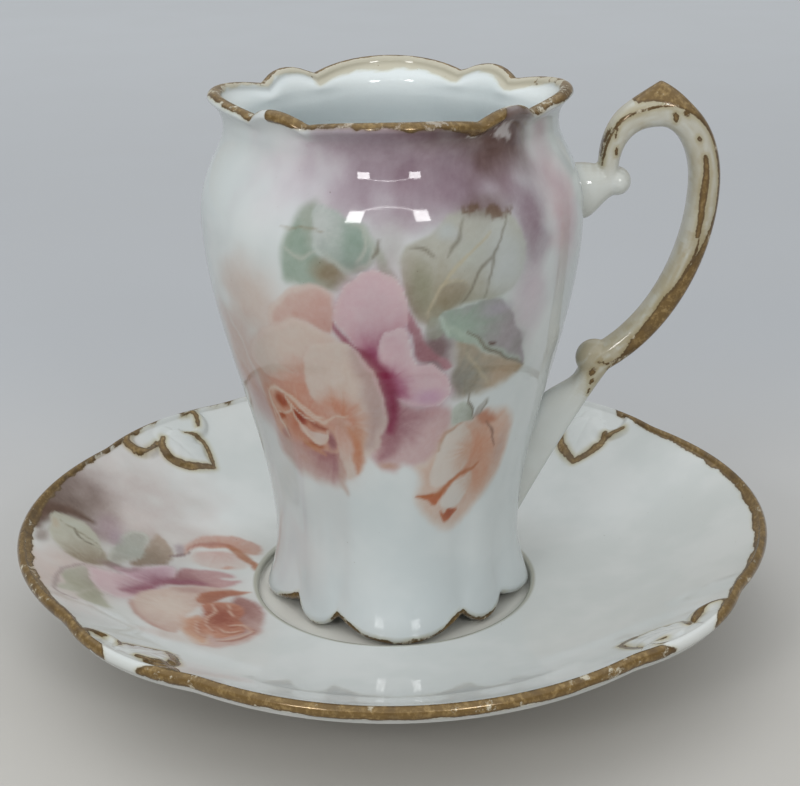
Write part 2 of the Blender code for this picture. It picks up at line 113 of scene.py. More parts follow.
def smooth(low, high, value):
    """Ease from 0 below low to 1 above high."""
    share = np.clip((value - low) / (high - low), 0.0, 1.0)
    return share * share * (3.0 - 2.0 * share)


print(f"cusps at {math.degrees(CUSP_ANGLE):.1f} degrees on both sides of each axis")

# %% [markdown]
# ## Skins
# Every turned or pressed piece is a stack of rings. A ring has a radius, a height, and how strongly the
# lobes mark it: the fold draws in the diagonals, the crease cuts the cusps and the scallop lifts them.
# Stacking thousands of rings with bmesh is slow, so the mesh is filled in one go from arrays.

# %% Rings
RING_PARTS = ("radius", "height", "fold", "crease", "scallop", "blur")


def rings(radius, height, fold=0.0, crease=0.0, scallop=0.0, blur=1.0):
    """A stack of rings, one row each."""
    parts = np.broadcast_arrays(radius, height, fold, crease, scallop, blur)
    return np.stack([np.atleast_1d(np.asarray(part, float)) for part in parts], axis=1)


def lobed_points(stack, angles):
    """The points of each ring, as rows of columns."""
    radius, height, fold, crease, scallop, blur = (stack[:, i, None] for i in range(len(RING_PARTS)))
    hollow = soft_hollow(angles, blur[:, 0])
    reach = radius - fold * fold_at(angles) - crease * hollow
    return np.stack(
        (reach * np.cos(angles), reach * np.sin(angles), height + scallop * hollow), axis=-1
    )


print("each ring has a", ", a ".join(RING_PARTS))

# %% Skins


def skin(name, points):
    """A closed mesh over rows of points that each run once round, capped at both ends."""
    row_count, column_count = points.shape[:2]
    index = np.arange(row_count * column_count).reshape(row_count, column_count)
    beside = np.roll(index, -1, axis=1)
    quads = np.stack((index[:-1], beside[:-1], beside[1:], index[1:]), axis=-1).reshape(-1, 4)
    corners = np.concatenate((quads.ravel(), index[0, ::-1], index[-1]))
    starts = np.concatenate((np.arange(len(quads)) * 4, quads.size + np.array((0, column_count))))
    mesh = bpy.data.meshes.new(name)
    mesh.vertices.add(points.size // 3)
    mesh.vertices.foreach_set("co", (points * MM).ravel())
    mesh.loops.add(len(corners))
    mesh.loops.foreach_set("vertex_index", corners)
    mesh.polygons.add(len(starts))
    mesh.polygons.foreach_set("loop_start", starts)
    mesh.update(calc_edges=True)
    mesh.validate()
    mesh.shade_smooth()
    return mesh


# %% [markdown]
# ## The cup's profile
# The cup stands on a flared, scalloped foot, narrows to a waist, swells to a high belly and closes in at
# the neck before the lip turns out. The curve is a chain of Bezier spans through those five levels, the
# same levels as in the solid, so that the skin lies on it.

# %% The cup's levels
CUP_WALL = 2.2
FOOT_ROUND = 1.1
LIP_FLARE = 5.2
SHOULDER = 13.5
WAIST_LEVEL = 10.5
NECK_LEVEL = CUP_HEIGHT - LIP_FLARE
BELLY_LEVEL = NECK_LEVEL - SHOULDER
LIP_LEVEL = CUP_HEIGHT - CUP_WALL / 2.0
# Each row below runs up the cup: foot, waist, belly, neck, lip
CUP_LEVELS = np.array((FOOT_ROUND, WAIST_LEVEL, BELLY_LEVEL, NECK_LEVEL, LIP_LEVEL))
CUP_RADII = np.array((21.7, 19.8, BELLY_RADIUS, 25.2, 27.3))
CUP_FOLDS = np.array((1.8, 1.1, 0.6, 1.9, 2.8))
CUP_CREASES = np.array((1.2, 0.7, 0.2, 0.6, 1.2))
CUP_SCALLOPS = np.array((2.4, 0.0, 0.0, 0.0, -1.6))
CUP_BLURS = np.array((1.5, 5.0, 7.0, 5.0, 1.2))
print("cup radii:", ", ".join(f"{radius:.1f}" for radius in CUP_RADII), "mm, from foot to lip")

# %% The cup's curve
CURVE_SHARES = np.linspace(0.0, 1.0, 60)


def bezier(start, start_pull, end_pull, end, shares=CURVE_SHARES):
    """Points along one Bezier span."""
    t = shares[:, None]
    s = 1.0 - t
    start, start_pull, end_pull, end = map(np.asarray, (start, start_pull, end_pull, end))
    return s ** 3 * start + 3.0 * s * s * t * start_pull + 3.0 * s * t * t * end_pull + t ** 3 * end


def cup_curve():
    """Radius and height up the cup's outer face, along the crest of a broad lobe."""
    levels = np.stack((CUP_RADII, CUP_LEVELS), axis=1)
    foot, waist, belly, neck, lip = levels
    skirt = np.array((0.0, (waist[1] - foot[1]) / 3.0))
    taper = np.array((0.0, (belly[1] - waist[1]) / 3.0))
    shoulder = np.array((0.0, (neck[1] - belly[1]) / 2.0))
    flare = np.array((0.0, (lip[1] - neck[1]) / 2.0))
    skirt_slope = np.array((0.5 * (foot[0] - waist[0]), 0.0))
    flare_slope = np.array((0.5 * (lip[0] - neck[0]), 0.0))
    spans = (
        bezier(foot, foot - skirt_slope + skirt, waist - skirt, waist),
        bezier(waist, waist + taper, belly - taper, belly),
        bezier(belly, belly + shoulder, neck - shoulder / 2.0, neck),
        bezier(neck, neck + flare, lip - flare_slope - flare / 2.0, lip),
    )
    return np.concatenate(spans)


CUP_CURVE = cup_curve()


def body_radius(height):
    """Radius of the cup's outer face at a height, along a broad lobe's crest."""
    return np.interp(height, CUP_CURVE[:, 1], CUP_CURVE[:, 0])


print(f"cup curve: {len(CUP_CURVE)} points from foot to lip")

# %% Rings of the cup


def between_levels(height, values):
    """A value that eases from each level of the cup to the next."""
    height = np.asarray(height, float)
    result = np.full(height.shape, values[0], float)
    for low, high, before, after in zip(CUP_LEVELS, CUP_LEVELS[1:], values, values[1:]):
        result = result + (after - before) * smooth(low, high, height)
    return result


def cup_rings(height, drawn_in=0.0):
    """Rings of the cup's outer face, or of a face drawn in from it."""
    return rings(
        body_radius(height) - drawn_in,
        height,
        between_levels(height, CUP_FOLDS),
        between_levels(height, CUP_CREASES),
        between_levels(height, CUP_SCALLOPS),
        between_levels(height, CUP_BLURS),
    )


# %% [markdown]
# ## The cup's skin
# The roses are painted point by point further on, so the points have to be close where the paint is:
# about a third of a millimetre on the front of the cup, and wider on its back and inside.

# %% The cup's columns
PRINT_RADIUS = 26.0
FRONT = -math.pi / 2.0
# From, to and the spacing of the points between, across the front
FRONT_COLUMNS = ((-45.0, -31.0, 0.7), (-31.0, 25.0, 0.31), (25.0, 40.0, 0.7))
BACK_SPACING = 1.4


def graded(*stretches):
    """Values from one end to the other, with a spacing of its own on each stretch (start, end, spacing)."""
    parts = []
    for start, end, spacing in stretches:
        count = max(1, int(round(abs(end - start) / spacing)))
        parts.append(np.linspace(start, end, count, endpoint=False))
    return np.concatenate(parts + [[stretches[-1][1]]])


def cup_columns():
    """Angles round the cup, closest on the painted front."""
    around = PRINT_RADIUS * math.pi
    left_back = (-around, FRONT_COLUMNS[0][0], BACK_SPACING)
    right_back = (FRONT_COLUMNS[-1][1], around, BACK_SPACING)
    across = graded(left_back, *FRONT_COLUMNS, right_back)
    return FRONT + across[:-1] / PRINT_RADIUS


cup_angles = cup_columns()
print(len(cup_angles), "columns round the cup")

# %% The cup's section
FOOT_WALL = 2.8
BASE_RECESS = 4.0
FLOOR_LEVEL = 7.2
FLOOR_FILLET = 5.0
# From, to and the spacing of the rings between, up the outside and down the inside
OUTSIDE_ROWS = ((FOOT_ROUND, 19.0, 0.6), (19.0, 71.0, 0.31), (71.0, 76.0, 0.45), (76.0, LIP_LEVEL, 0.3))
INSIDE_ROWS = ((LIP_LEVEL, 77.0, 0.35), (77.0, 70.0, 1.0), (70.0, FLOOR_LEVEL + FLOOR_FILLET, 3.0))
RECESS_RADII = np.array((0.3, 8.0, 14.5, 15.6))
RECESS_LEVELS = np.array((4.2, 4.2, 4.1, 3.8))
RECESS_EDGE = 15.9
FLOOR_RADII = np.array((8.0, 0.3))


def stacked(**parts):
    """Stacks of rings put together, and the name of the stack that each ring comes from."""
    side = np.concatenate([[name] * len(part) for name, part in parts.items()])
    return np.concatenate(list(parts.values())), side


def cup_section():
    """All rings of the cup, from under its base up the outside, over the lip and down the inside."""
    foot = cup_rings(np.array([FOOT_ROUND]))[0]
    lip = cup_rings(np.array([LIP_LEVEL]))[0]
    recess = rings(RECESS_RADII, RECESS_LEVELS)
    share = np.linspace(0.15, 1.0, 5)
    hollow = rings(
        RECESS_EDGE + share * (foot[0] - FOOT_WALL - RECESS_EDGE), BASE_RECESS * (1.0 - share ** 1.5),
        share * foot[2], share * foot[3], share * foot[4], foot[5]
    )
    turn = np.linspace(0.0, math.pi / 2.0, 5)[:-1]
    heel = rings(foot[0] - FOOT_ROUND * (1.0 - np.sin(turn)), FOOT_ROUND * (1.0 - np.cos(turn)), *foot[2:])
    turn = np.linspace(0.0, math.pi, 13)[1:-1]
    half_wall = CUP_WALL / 2.0
    lip_reach = lip[0] - half_wall * (1.0 - np.cos(turn))
    lip_round = rings(lip_reach, LIP_LEVEL + half_wall * np.sin(turn), *lip[2:])
    inner = cup_rings(graded(*INSIDE_ROWS), CUP_WALL)
    lowest = inner[-1]
    turn = np.linspace(0.0, math.pi / 2.0, 6)[1:]
    fillet = rings(
        lowest[0] - FLOOR_FILLET * (1.0 - np.cos(turn)), FLOOR_LEVEL + FLOOR_FILLET * (1.0 - np.sin(turn)),
        lowest[2] * (1.0 - np.sin(turn)), lowest[3] * (1.0 - np.sin(turn))
    )
    return stacked(
        recess=recess, hollow=hollow, heel=heel, outside=cup_rings(graded(*OUTSIDE_ROWS)), lip=lip_round,
        inside=inner, fillet=fillet, floor=rings(FLOOR_RADII, FLOOR_LEVEL),
    )


cup_stack, cup_side = cup_section()
cup_points = lobed_points(cup_stack, cup_angles)
cup_mesh = skin("cup_body_glazed", cup_points + CUP_PLACE)
print(f"cup skin: {len(cup_stack)} rings of {len(cup_angles)} points")

# %% [markdown]
# ## Enamel
# The roses are overglaze enamel: thin colour fired onto the white glaze, so the white shows through and
# every layer takes some light away. A picture would do it, but the colours are painted here instead, by
# a few strokes of the brush. The next cells hold what the brush needs: soft patches that make its marks
# uneven, smooth lines through a few points, and how far a spot lies from such a line.

# %% Soft patches
SEED_STEP = (17.3, 9.1)
SCATTER = (127.1, 311.7, 74.7)
SCATTER_SCALE = 43758.5453


def mottle(across, up, size, seed):
    """Soft irregular patches between -1 and 1, about one size apart."""
    x = across / size + SEED_STEP[0] * seed
    y = up / size + SEED_STEP[1] * seed
    left = np.floor(x)
    low = np.floor(y)

    def corner(i, j):
        wave = np.sin(i * SCATTER[0] + j * SCATTER[1] + seed * SCATTER[2]) * SCATTER_SCALE
        return 2.0 * (wave - np.floor(wave)) - 1.0

    p = smooth(0.0, 1.0, x - left)
    q = smooth(0.0, 1.0, y - low)
    bottom = corner(left, low) * (1.0 - p) + corner(left + 1.0, low) * p
    top = corner(left, low + 1.0) * (1.0 - p) + corner(left + 1.0, low + 1.0) * p
    return bottom * (1.0 - q) + top * q


def mottles(across, up, *layers, start=0.0):
    """A start with layers of patches added to it, each with a strength, a size and a seed."""
    return sum((strength * mottle(across, up, size, seed) for strength, size, seed in layers), start)


# %% Smooth lines
FAR_AWAY = 1e9
TINY = 1e-12


def curve_through(points, closed, steps=6):
    """A smooth line through a few points, as short straight pieces."""
    points = np.asarray(points, float)
    count = len(points)
    shares = np.arange(steps)[:, None] / steps
    line = []
    for index in range(count if closed else count - 1):
        numbers = [index + shift for shift in (-1, 0, 1, 2)]
        numbers = [n % count if closed else min(max(n, 0), count - 1) for n in numbers]
        before, start, end, after = points[numbers]
        line.append(0.5 * (
            2.0 * start + (end - before) * shares
            + (2.0 * before - 5.0 * start + 4.0 * end - after) * shares ** 2
            + (3.0 * start - before - 3.0 * end + after) * shares ** 3
        ))
    if not closed:
        line.append(points[-1:])
    return np.concatenate(line)


def distance_to(line, across, up, closed=False):
    """Distance from each spot to a line, and where along the line the nearest point lies."""
    nearest = np.full(across.shape, FAR_AWAY)
    along = np.zeros(across.shape)
    ends = np.roll(line, -1, axis=0) if closed else line[1:]
    for index, (start, end) in enumerate(zip(line, ends)):
        span = end - start
        length = max(float(span @ span), TINY)
        share = np.clip(((across - start[0]) * span[0] + (up - start[1]) * span[1]) / length, 0.0, 1.0)
        away = np.hypot(across - start[0] - share * span[0], up - start[1] - share * span[1])
        nearer = away < nearest
        nearest = np.where(nearer, away, nearest)
        along = np.where(nearer, (index + share) / len(ends), along)
    return nearest, along


def inside_of(line, across, up):
    """Which spots lie inside a closed line."""
    within = np.zeros(across.shape, bool)
    for start, end in zip(line, np.roll(line, -1, axis=0)):
        crosses = (start[1] > up) != (end[1] > up)
        rise = end[1] - start[1] if end[1] != start[1] else TINY
        within ^= crosses & (across < (end[0] - start[0]) * (up - start[1]) / rise + start[0])
    return within


print("a closed line through 3 points:", len(curve_through([(0, 0), (1, 0), (0, 1)], True)), "short pieces")

# %% [markdown]
# ## The brush
# The brush leaves four marks. A wash is a soft blot. A rub is a ragged patch, where the colour has clotted
# or was worn through. A petal is a closed outline that is deep at its throat and pale at its rim. A stroke
# is a tapering line. A hand is never quite steady, so all places are shifted a little first.

# %% Grain and edges of the marks
# Layers of patches: strength, size and seed
UNSTEADY_ACROSS = ((0.35, 2.3, 1), (0.12, 0.8, 2))
UNSTEADY_UP = ((0.35, 2.1, 3), (0.12, 0.7, 4))
BLOT_EDGE = (0.16, 3.1, 5)
RUB_GRAIN = ((0.7, 0.9, 10), (0.6, 0.5, 11))
PETAL_RAYS = (0.10, 1.0, 6)
PETAL_GRAIN = (0.05, 1.2, 7)
# How far round a mark its spots are looked for, as a share of its size
WASH_MARGIN = 1.3
RUB_MARGIN = 1.5
SHADOW_MARGIN = 3.0
RUB_FALL = 1.8
RUB_MIDDLE = 0.6
RUB_EDGE = (-0.5, 0.7)
RAYS_ROUND = 9.0
RAYS_OUT = 2.0
RIM_STRENGTH = 0.75
RIM_INSET = 0.35
RIM_WIDTH = 0.45
RIM_FROM = (0.25, 0.7)
STROKE_END = 0.25
STROKE_SWELL = 0.75
STROKE_TIPS = (0.02, 0.98)
STROKE_FADE = 0.7

# %% The brush


class Enamel:
    """Colour fired onto white glaze: the share of light that comes back at each spot."""

    def __init__(self, across, up):
        self.across = mottles(across, up, *UNSTEADY_ACROSS, start=across)
        self.up = mottles(across, up, *UNSTEADY_UP, start=up)
        self.tint = np.ones((len(across), 3))

    def near(self, points, margin):
        """Spots close enough to some points to be touched, and where they are across and up."""
        low = np.min(points, axis=0) - margin
        high = np.max(points, axis=0) + margin
        spots = np.flatnonzero(
            (self.across > low[0]) & (self.across < high[0]) & (self.up > low[1]) & (self.up < high[1])
        )
        return spots, self.across[spots], self.up[spots]

    def patch(self, centre, size, margin):
        """Spots in and round an oval, where they are, and how far out: 1 on the oval's edge."""
        spots, x, y = self.near(np.array([centre]), max(size) * margin)
        return spots, x, y, np.hypot((x - centre[0]) / size[0], (y - centre[1]) / size[1])

    def lay(self, spots, colour, cover):
        """Cover what is there with a colour, by a share."""
        self.tint[spots] += (np.asarray(colour) - self.tint[spots]) * cover[:, None]

    def wash(self, centre, size, colour, cover, fade=0.45):
        """A soft blot of colour."""
        spots, x, y, away = self.patch(centre, size, WASH_MARGIN)
        away = away + mottles(x, y, BLOT_EDGE)
        self.lay(spots, colour, cover * (1.0 - smooth(1.0 - 2.0 * fade, 1.0, away)))

    def rub(self, centre, size, colour, cover=0.85):
        """A ragged patch, where colour was rubbed through or has clotted."""
        spots, x, y, away = self.patch(centre, size, RUB_MARGIN)
        ragged = mottles(x, y, *RUB_GRAIN) - RUB_FALL * (away - RUB_MIDDLE)
        self.lay(spots, colour, cover * smooth(*RUB_EDGE, ragged))

    def petal(self, points, light, deep, throat, rim=None, cover=0.92, soft=0.25, shade=0.25, spread=1.3,
              depth=1.0):
        """A petal or leaf, deep at its throat and light at its edge, with a rim and a shadow round it."""
        line = curve_through(points, True)
        spots, x, y = self.near(line, SHADOW_MARGIN * spread)
        away, _ = distance_to(line, x, y, True)
        within = inside_of(line, x, y)
        edge = np.where(within, away, -away)
        light = np.asarray(light)
        deep = np.asarray(deep)
        shadow = shade * np.exp(-away / spread) * ~within
        self.tint[spots] *= 1.0 - shadow[:, None] * (1.0 - deep)
        reach = np.max(np.hypot(line[:, 0] - throat[0], line[:, 1] - throat[1]))
        from_throat = np.hypot(x - throat[0], y - throat[1]) / reach
        bearing = np.arctan2(y - throat[1], x - throat[0])
        streak = mottles(bearing * RAYS_ROUND, from_throat * RAYS_OUT, PETAL_RAYS)
        streak = streak + mottles(x, y, PETAL_GRAIN)
        colour = deep + (light - deep) * smooth(0.0, 1.0, from_throat * depth + streak)[:, None]
        if rim is not None:
            lit = RIM_STRENGTH * np.exp(-((edge - RIM_INSET) / RIM_WIDTH) ** 2)
            lit = lit * smooth(*RIM_FROM, from_throat)
            colour = colour + (np.asarray(rim) - colour) * lit[:, None]
        self.lay(spots, colour, cover * smooth(-soft, soft, edge))

    def stroke(self, points, width, colour, cover=0.85, soft=0.5):
        """A line of the brush, thick at its middle and thin at its ends."""
        line = curve_through(points, False)
        spots, x, y = self.near(line, width + soft)
        away, along = distance_to(line, x, y)
        half = width / 2.0 * (STROKE_END + STROKE_SWELL * np.sin(math.pi * np.clip(along, *STROKE_TIPS)))
        self.lay(spots, colour, cover * (1.0 - smooth(half - soft / 2.0, half + STROKE_FADE * soft, away)))


# %% [markdown]
# ## A spray of roses
# The spray is the usual one of such china: a full peach rose, a pink one behind it, a hanging bud and a
# few leaves under a mauve ground. The painter mixes a handful of colours first. Each is the share of red,
# green and blue light that the enamel lets back, before the kiln has deepened it.

# %% Mixed colours
PEACH_PALE = (0.92, 0.79, 0.73)
PEACH = (0.87, 0.60, 0.52)
PEACH_DEEP = (0.85, 0.48, 0.36)
PEACH_SHADE = (0.68, 0.50, 0.49)
ORANGE = (0.74, 0.28, 0.13)
RUST = (0.54, 0.12, 0.05)
PINK_PALE = (0.91, 0.69, 0.73)
PINK_DEEP = (0.62, 0.25, 0.38)
MAGENTA = (0.48, 0.11, 0.21)
MAUVE = (0.60, 0.33, 0.37)
MAUVE_PALE = (0.83, 0.60, 0.58)
GROUND = (0.53, 0.39, 0.45)
GROUND_PALE = (0.90, 0.79, 0.84)
GROUND_DARK_AND_LIP_SHADE = (0.29, 0.18, 0.16)
SAGE = (0.57, 0.65, 0.57)
SAGE_PALE = (0.78, 0.77, 0.71)
SAGE_DEEP = (0.47, 0.57, 0.49)
OLIVE = (0.53, 0.44, 0.32)
LEAF_GREY = (0.60, 0.54, 0.56)
LEAF_WHITE = (0.86, 0.855, 0.85)
STRAW = (0.82, 0.73, 0.58)
SHADE = (0.42, 0.29, 0.30)
STEM = (0.36, 0.31, 0.24)
BROWN = (0.24, 0.13, 0.09)
CLOT = (0.37, 0.25, 0.19)
WORN = (0.86, 0.80, 0.80)

# %% [markdown]
# ## Ground and leaves
# The spray is drawn in millimetres across and up the front of the cup. What lies at the back comes first:
# the mauve ground was dusted on with a pad, so it has no outline, and the leaves are laid over it, each
# with a few veins.

# %% Ground


def paint_ground(e):
    """The mauve ground above the flowers, darkest at the right under the lip, where painted shade of the
    lip is mixed in.
    """
    e.wash((-3, 76), (31, 13), GROUND_PALE, 0.9, 0.5)
    e.wash((9, 75.5), (26, 12.5), GROUND, 0.95, 0.5)
    e.wash((2.5, 74), (12, 6), GROUND, 0.3)
    # The darkest ground under the lip is partly print and partly painted shade from the flared lip
    e.wash((18, 79.5), (13.5, 8.2), GROUND_DARK_AND_LIP_SHADE, 0.9)
    e.wash((13, 82.5), (17, 5.5), GROUND_DARK_AND_LIP_SHADE, 0.9)
    e.wash((-6, 82), (14, 4.5), GROUND, 0.55)
    e.wash((19.5, 66), (5, 11), GROUND, 0.85)
    e.wash((20, 55), (6, 12), GROUND_PALE, 0.8)
    e.wash((28, 68), (6, 17), PINK_PALE, 0.7)
    e.rub((19.2, 79.8), (2.4, 2.0), WORN)
    e.rub((12.5, 80.8), (2.4, 0.8), WORN)


# %% Leaves at the left


def paint_left_leaves(e):
    """The two rounded leaves at the left."""
    e.wash((-0.6, 66), (3.6, 6), (0.80, 0.75, 0.74), 0.8)
    e.petal([(-15.2, 61), (-15.3, 65), (-14.6, 68), (-13.4, 70.5), (-11.5, 71.8), (-10.5, 70.5),
             (-10.6, 68), (-10, 65.4), (-8.6, 63.8), (-7, 62.3), (-8, 60.6), (-10, 60.5), (-13.5, 60.3)],
            (0.64, 0.66, 0.59), SAGE, (-13, 62), soft=0.9, shade=0.0)
    e.stroke([(-13.6, 68.6), (-12.6, 66.4), (-11.4, 64.6)], 2.0, SAGE_DEEP, 0.5, 1.8)
    e.stroke([(-14.8, 65.6), (-12.8, 64.5), (-10.3, 65.5)], 0.5, SAGE_PALE, 0.7, 0.5)
    e.wash((-8.4, 62.4), (3.6, 3.2), OLIVE, 0.9)
    e.petal([(-11.3, 71), (-9, 71.3), (-6, 70.2), (-3.5, 68.9), (-2.2, 67), (-2.4, 65), (-3.5, 63.6),
             (-5, 62.8), (-6.5, 62.9), (-8, 64), (-9.8, 65.6), (-10.5, 68)],
            (0.56, 0.63, 0.57), (0.78, 0.78, 0.76), (-10.4, 69.5), rim=SAGE_PALE, cover=0.95, soft=0.37,
            depth=1.2)
    e.stroke([(-6.2, 69.2), (-5.2, 66.6), (-5.2, 63.8)], 2.2, SAGE_DEEP, 0.5, 2.0)
    e.stroke([(-4.4, 69), (-3.5, 66.8), (-4.6, 64.2)], 0.5, SAGE_PALE, 0.7, 0.5)
    e.stroke([(-15.8, 68.1), (-12.5, 68.5), (-9.5, 68.3)], 0.25, OLIVE, 0.5, 0.3)
    e.petal([(-2.4, 66.5), (-1.6, 66), (-0.6, 63.6), (0.2, 61.4), (-1.2, 62.2), (-2.2, 63.6)],
            SAGE_PALE, (0.66, 0.66, 0.58), (-1.8, 65), cover=0.8, soft=0.43, shade=0.0)
    e.stroke([(-2.0, 67.8), (-2.2, 66.2), (-2.7, 65)], 0.3, STEM, 0.6, 0.3)


# %% The large leaf


def paint_big_leaf(e):
    """The large pale leaf above the pink rose, with its veins and stems."""
    e.petal([(1.4, 66.6), (3.4, 67.6), (5.4, 68.8), (7.4, 70.4), (10, 70.8), (13, 70), (16, 69.4),
             (17.4, 67.6), (18.2, 64.5), (17.8, 61), (16, 58.5), (13, 57.6), (9, 57.4), (6, 56.6),
             (4.4, 54.2), (2.8, 55.6), (1.6, 58.5), (0.8, 61.5), (0.6, 64.5)],
            (0.76, 0.73, 0.67), (0.62, 0.56, 0.45), (4, 57.5), cover=0.95, soft=0.43, shade=0.0,
            depth=1.5)
    e.wash((15, 63), (6.0, 7.4), LEAF_WHITE, 0.9)
    e.wash((9.5, 64.6), (3.4, 3.6), (0.80, 0.79, 0.74), 0.7)
    e.wash((6.4, 68), (2.6, 2), (0.79, 0.79, 0.79), 0.8)
    e.wash((2.8, 60.4), (2.8, 6.6), (0.54, 0.53, 0.41), 0.8)
    e.petal([(4.8, 58.2), (5.8, 61), (7.4, 60.8), (9, 60), (8.4, 58), (6.6, 57)],
            (0.58, 0.50, 0.40), OLIVE, (5.6, 58), cover=0.7, soft=0.9, shade=0.0)
    e.stroke([(3.8, 56), (5.2, 60), (7.2, 62.8), (10, 65.5), (12.5, 67.4)], 0.4, STRAW, 0.75, 0.4)
    e.stroke([(5.3, 60.6), (7.2, 61.3), (9, 60.4)], 0.3, STRAW, 0.5, 0.35)
    e.stroke([(1.8, 66.3), (3.6, 65.9), (4.8, 65)], 0.32, STEM, 0.6, 0.4)
    e.stroke([(9, 69.6), (7.8, 67), (6.6, 65)], 0.3, STEM, 0.55, 0.4)
    e.stroke([(12.6, 63.7), (11, 62.7), (9.9, 60.5), (8.7, 57.5)], 0.32, STEM, 0.65, 0.4)
    e.stroke([(15.3, 68.8), (13.3, 65), (12.4, 61), (11.8, 58)], 0.3, STEM, 0.6, 0.4)
    e.wash((12.5, 70.8), (6, 2.4), BROWN, 0.4)
    e.rub((10.8, 70.9), (2.4, 1.2), CLOT)
    e.rub((14.4, 69.8), (3.4, 1.0), CLOT)


# %% Leaves at the right


def paint_right_leaves(e):
    """The folded leaf at the right, with the tan one under it."""
    e.wash((5.6, 51.2), (3.8, 5.0), SHADE, 0.95)
    e.petal([(3.4, 54.6), (4.4, 55.8), (5.6, 55), (6, 53.6), (5, 52.4), (3.8, 53)],
            (0.68, 0.70, 0.62), (0.58, 0.58, 0.50), (4, 53.4), cover=0.7, soft=0.37, shade=0.0)
    e.petal([(8, 52.6), (10, 51.4), (13, 49.4), (17, 47.4), (21, 45.2), (19, 43.2), (15, 42.6), (11, 42.2),
             (8.5, 42.6), (7.8, 45), (7.9, 48)],
            (0.76, 0.61, 0.48), (0.50, 0.48, 0.42), (8.6, 45.5), soft=0.9, shade=0.0, depth=1.3)
    e.stroke([(9.4, 49.6), (12, 46.6), (14.5, 43.4)], 0.4, STRAW, 0.6, 0.6)
    e.petal([(5.3, 55.8), (5.8, 56.6), (7.6, 57), (10, 57.2), (13, 57.6), (15, 56.8), (16.8, 54.5),
             (18.5, 51.5), (20, 48.5), (21, 45.4), (18.5, 46.6), (15.5, 48.2), (12.5, 49.8), (9.5, 51.4),
             (7, 52.8), (5.8, 54.2)],
            LEAF_GREY, SAGE, (7.5, 53.6), cover=0.96, soft=0.28, shade=0.3, depth=1.5)
    e.wash((14, 55.8), (3.4, 1.6), (0.66, 0.60, 0.66), 0.7)
    e.wash((18.6, 49.2), (2, 3), (0.54, 0.50, 0.49), 0.6)
    e.stroke([(6, 55.2), (8.6, 52.7), (12, 50.6), (16, 48.4), (20, 46)], 1.1, (0.70, 0.76, 0.68), 0.7, 0.7)
    e.stroke([(5.5, 55.9), (6, 54.6), (7, 53.2)], 0.5, (0.78, 0.84, 0.77), 0.7, 0.4)
    e.stroke([(9.3, 53.2), (12, 51), (14.5, 49), (17.5, 47), (21.2, 45)], 0.42, STEM, 0.85, 0.4)
    e.stroke([(13.7, 50.6), (14.5, 50.4)], 0.5, BROWN, 0.8, 0.3)


# %% [markdown]
# ## Roses
# A rose is built from its outer petals inward. Every petal is deep at its throat, so the next one stands
# out pale against it. The heart is a few dark hollows with pale curled edges drawn over them.

# %% The pink rose


def paint_pink_rose(e):
    """The pink rose behind, with a deep crease between its petals."""
    e.petal([(1, 56), (1.8, 53.5), (2.2, 51), (3.2, 49.4), (5.4, 49), (6.8, 47.6), (7.4, 48.6), (5, 50.6),
             (3.6, 52.4), (2.6, 54.8), (1.6, 57)],
            (0.74, 0.48, 0.52), MAUVE, (2.6, 50.4), cover=0.85, soft=0.31, shade=0.0)
    e.petal([(0, 42.8), (3, 41.3), (6, 41.4), (8.4, 40), (8.2, 37), (7, 34), (5, 31.6), (2.5, 31.2),
             (0.4, 31.6), (-1, 30.2), (-3, 31), (-4.6, 33), (-3.4, 36), (-1.8, 39), (-0.8, 42)],
            (0.87, 0.66, 0.66), MAUVE, (-0.8, 39.5), soft=1.0, shade=0.0, depth=1.35)
    e.stroke([(-0.5, 38.5), (-1.4, 35), (-3, 32.6)], 2.4, MAUVE, 0.75, 1.8)
    e.wash((-1.8, 31.3), (2.6, 1.3), (0.80, 0.55, 0.45), 0.7)
    e.petal([(-8.3, 57), (-7.6, 59.2), (-6, 61.5), (-4, 63), (-2.2, 63.2), (-0.3, 62.2), (1, 60),
             (1.5, 57.5), (1.3, 55.5), (0, 54.4), (-1.6, 54), (-2.4, 52), (-3.2, 49.2), (-4.5, 50.6),
             (-6, 52.8), (-7.6, 54.8)],
            PINK_PALE, PINK_DEEP, (-3.2, 48.6), rim=(0.93, 0.74, 0.76), shade=0.3, depth=1.9)
    e.petal([(-1.7, 54), (0, 54.6), (1, 54.8), (1.3, 53), (1.9, 50.5), (3, 48.9), (4.6, 48.6),
             (6.3, 47.2), (7.5, 45.2), (7.4, 43.2), (6, 41.6), (4, 41.4), (1.8, 42.2), (0.3, 43.2),
             (-0.6, 44.6), (-2.5, 47.4), (-3, 49.4), (-2.6, 51.5)],
            PINK_PALE, PINK_DEEP, (-1.4, 45.4), rim=(0.93, 0.74, 0.77), shade=0.35, depth=2.0)
    e.wash((4.4, 43.2), (3.4, 2.2), (0.82, 0.56, 0.70), 0.75)
    e.stroke([(-1.9, 46.8), (-0.2, 44.8), (1.4, 43.6)], 2.2, PINK_DEEP, 0.75, 1.8)
    e.wash((-3.6, 50.2), (1.4, 2.6), (0.55, 0.16, 0.30), 0.9)
    e.stroke([(-8.3, 55.2), (-7.7, 53.4), (-6.6, 52.4), (-5.4, 51.6)], 0.8, (0.56, 0.22, 0.30), 0.85, 0.6)
    e.stroke([(-5.4, 51.4), (-4, 49.9), (-3.1, 48.9)], 0.8, MAGENTA, 0.9, 0.5)
    e.stroke([(-4.6, 50.6), (-3.2, 48.2), (-2.2, 46), (-1.5, 43.8), (-1.1, 41.5), (-1.4, 37.6)], 3.0,
             MAGENTA, 1.0, 1.3)
    e.stroke([(0.3, 43), (2, 42), (5.4, 41.3)], 0.4, PINK_PALE, 0.7, 0.4)


# %% The peach rose


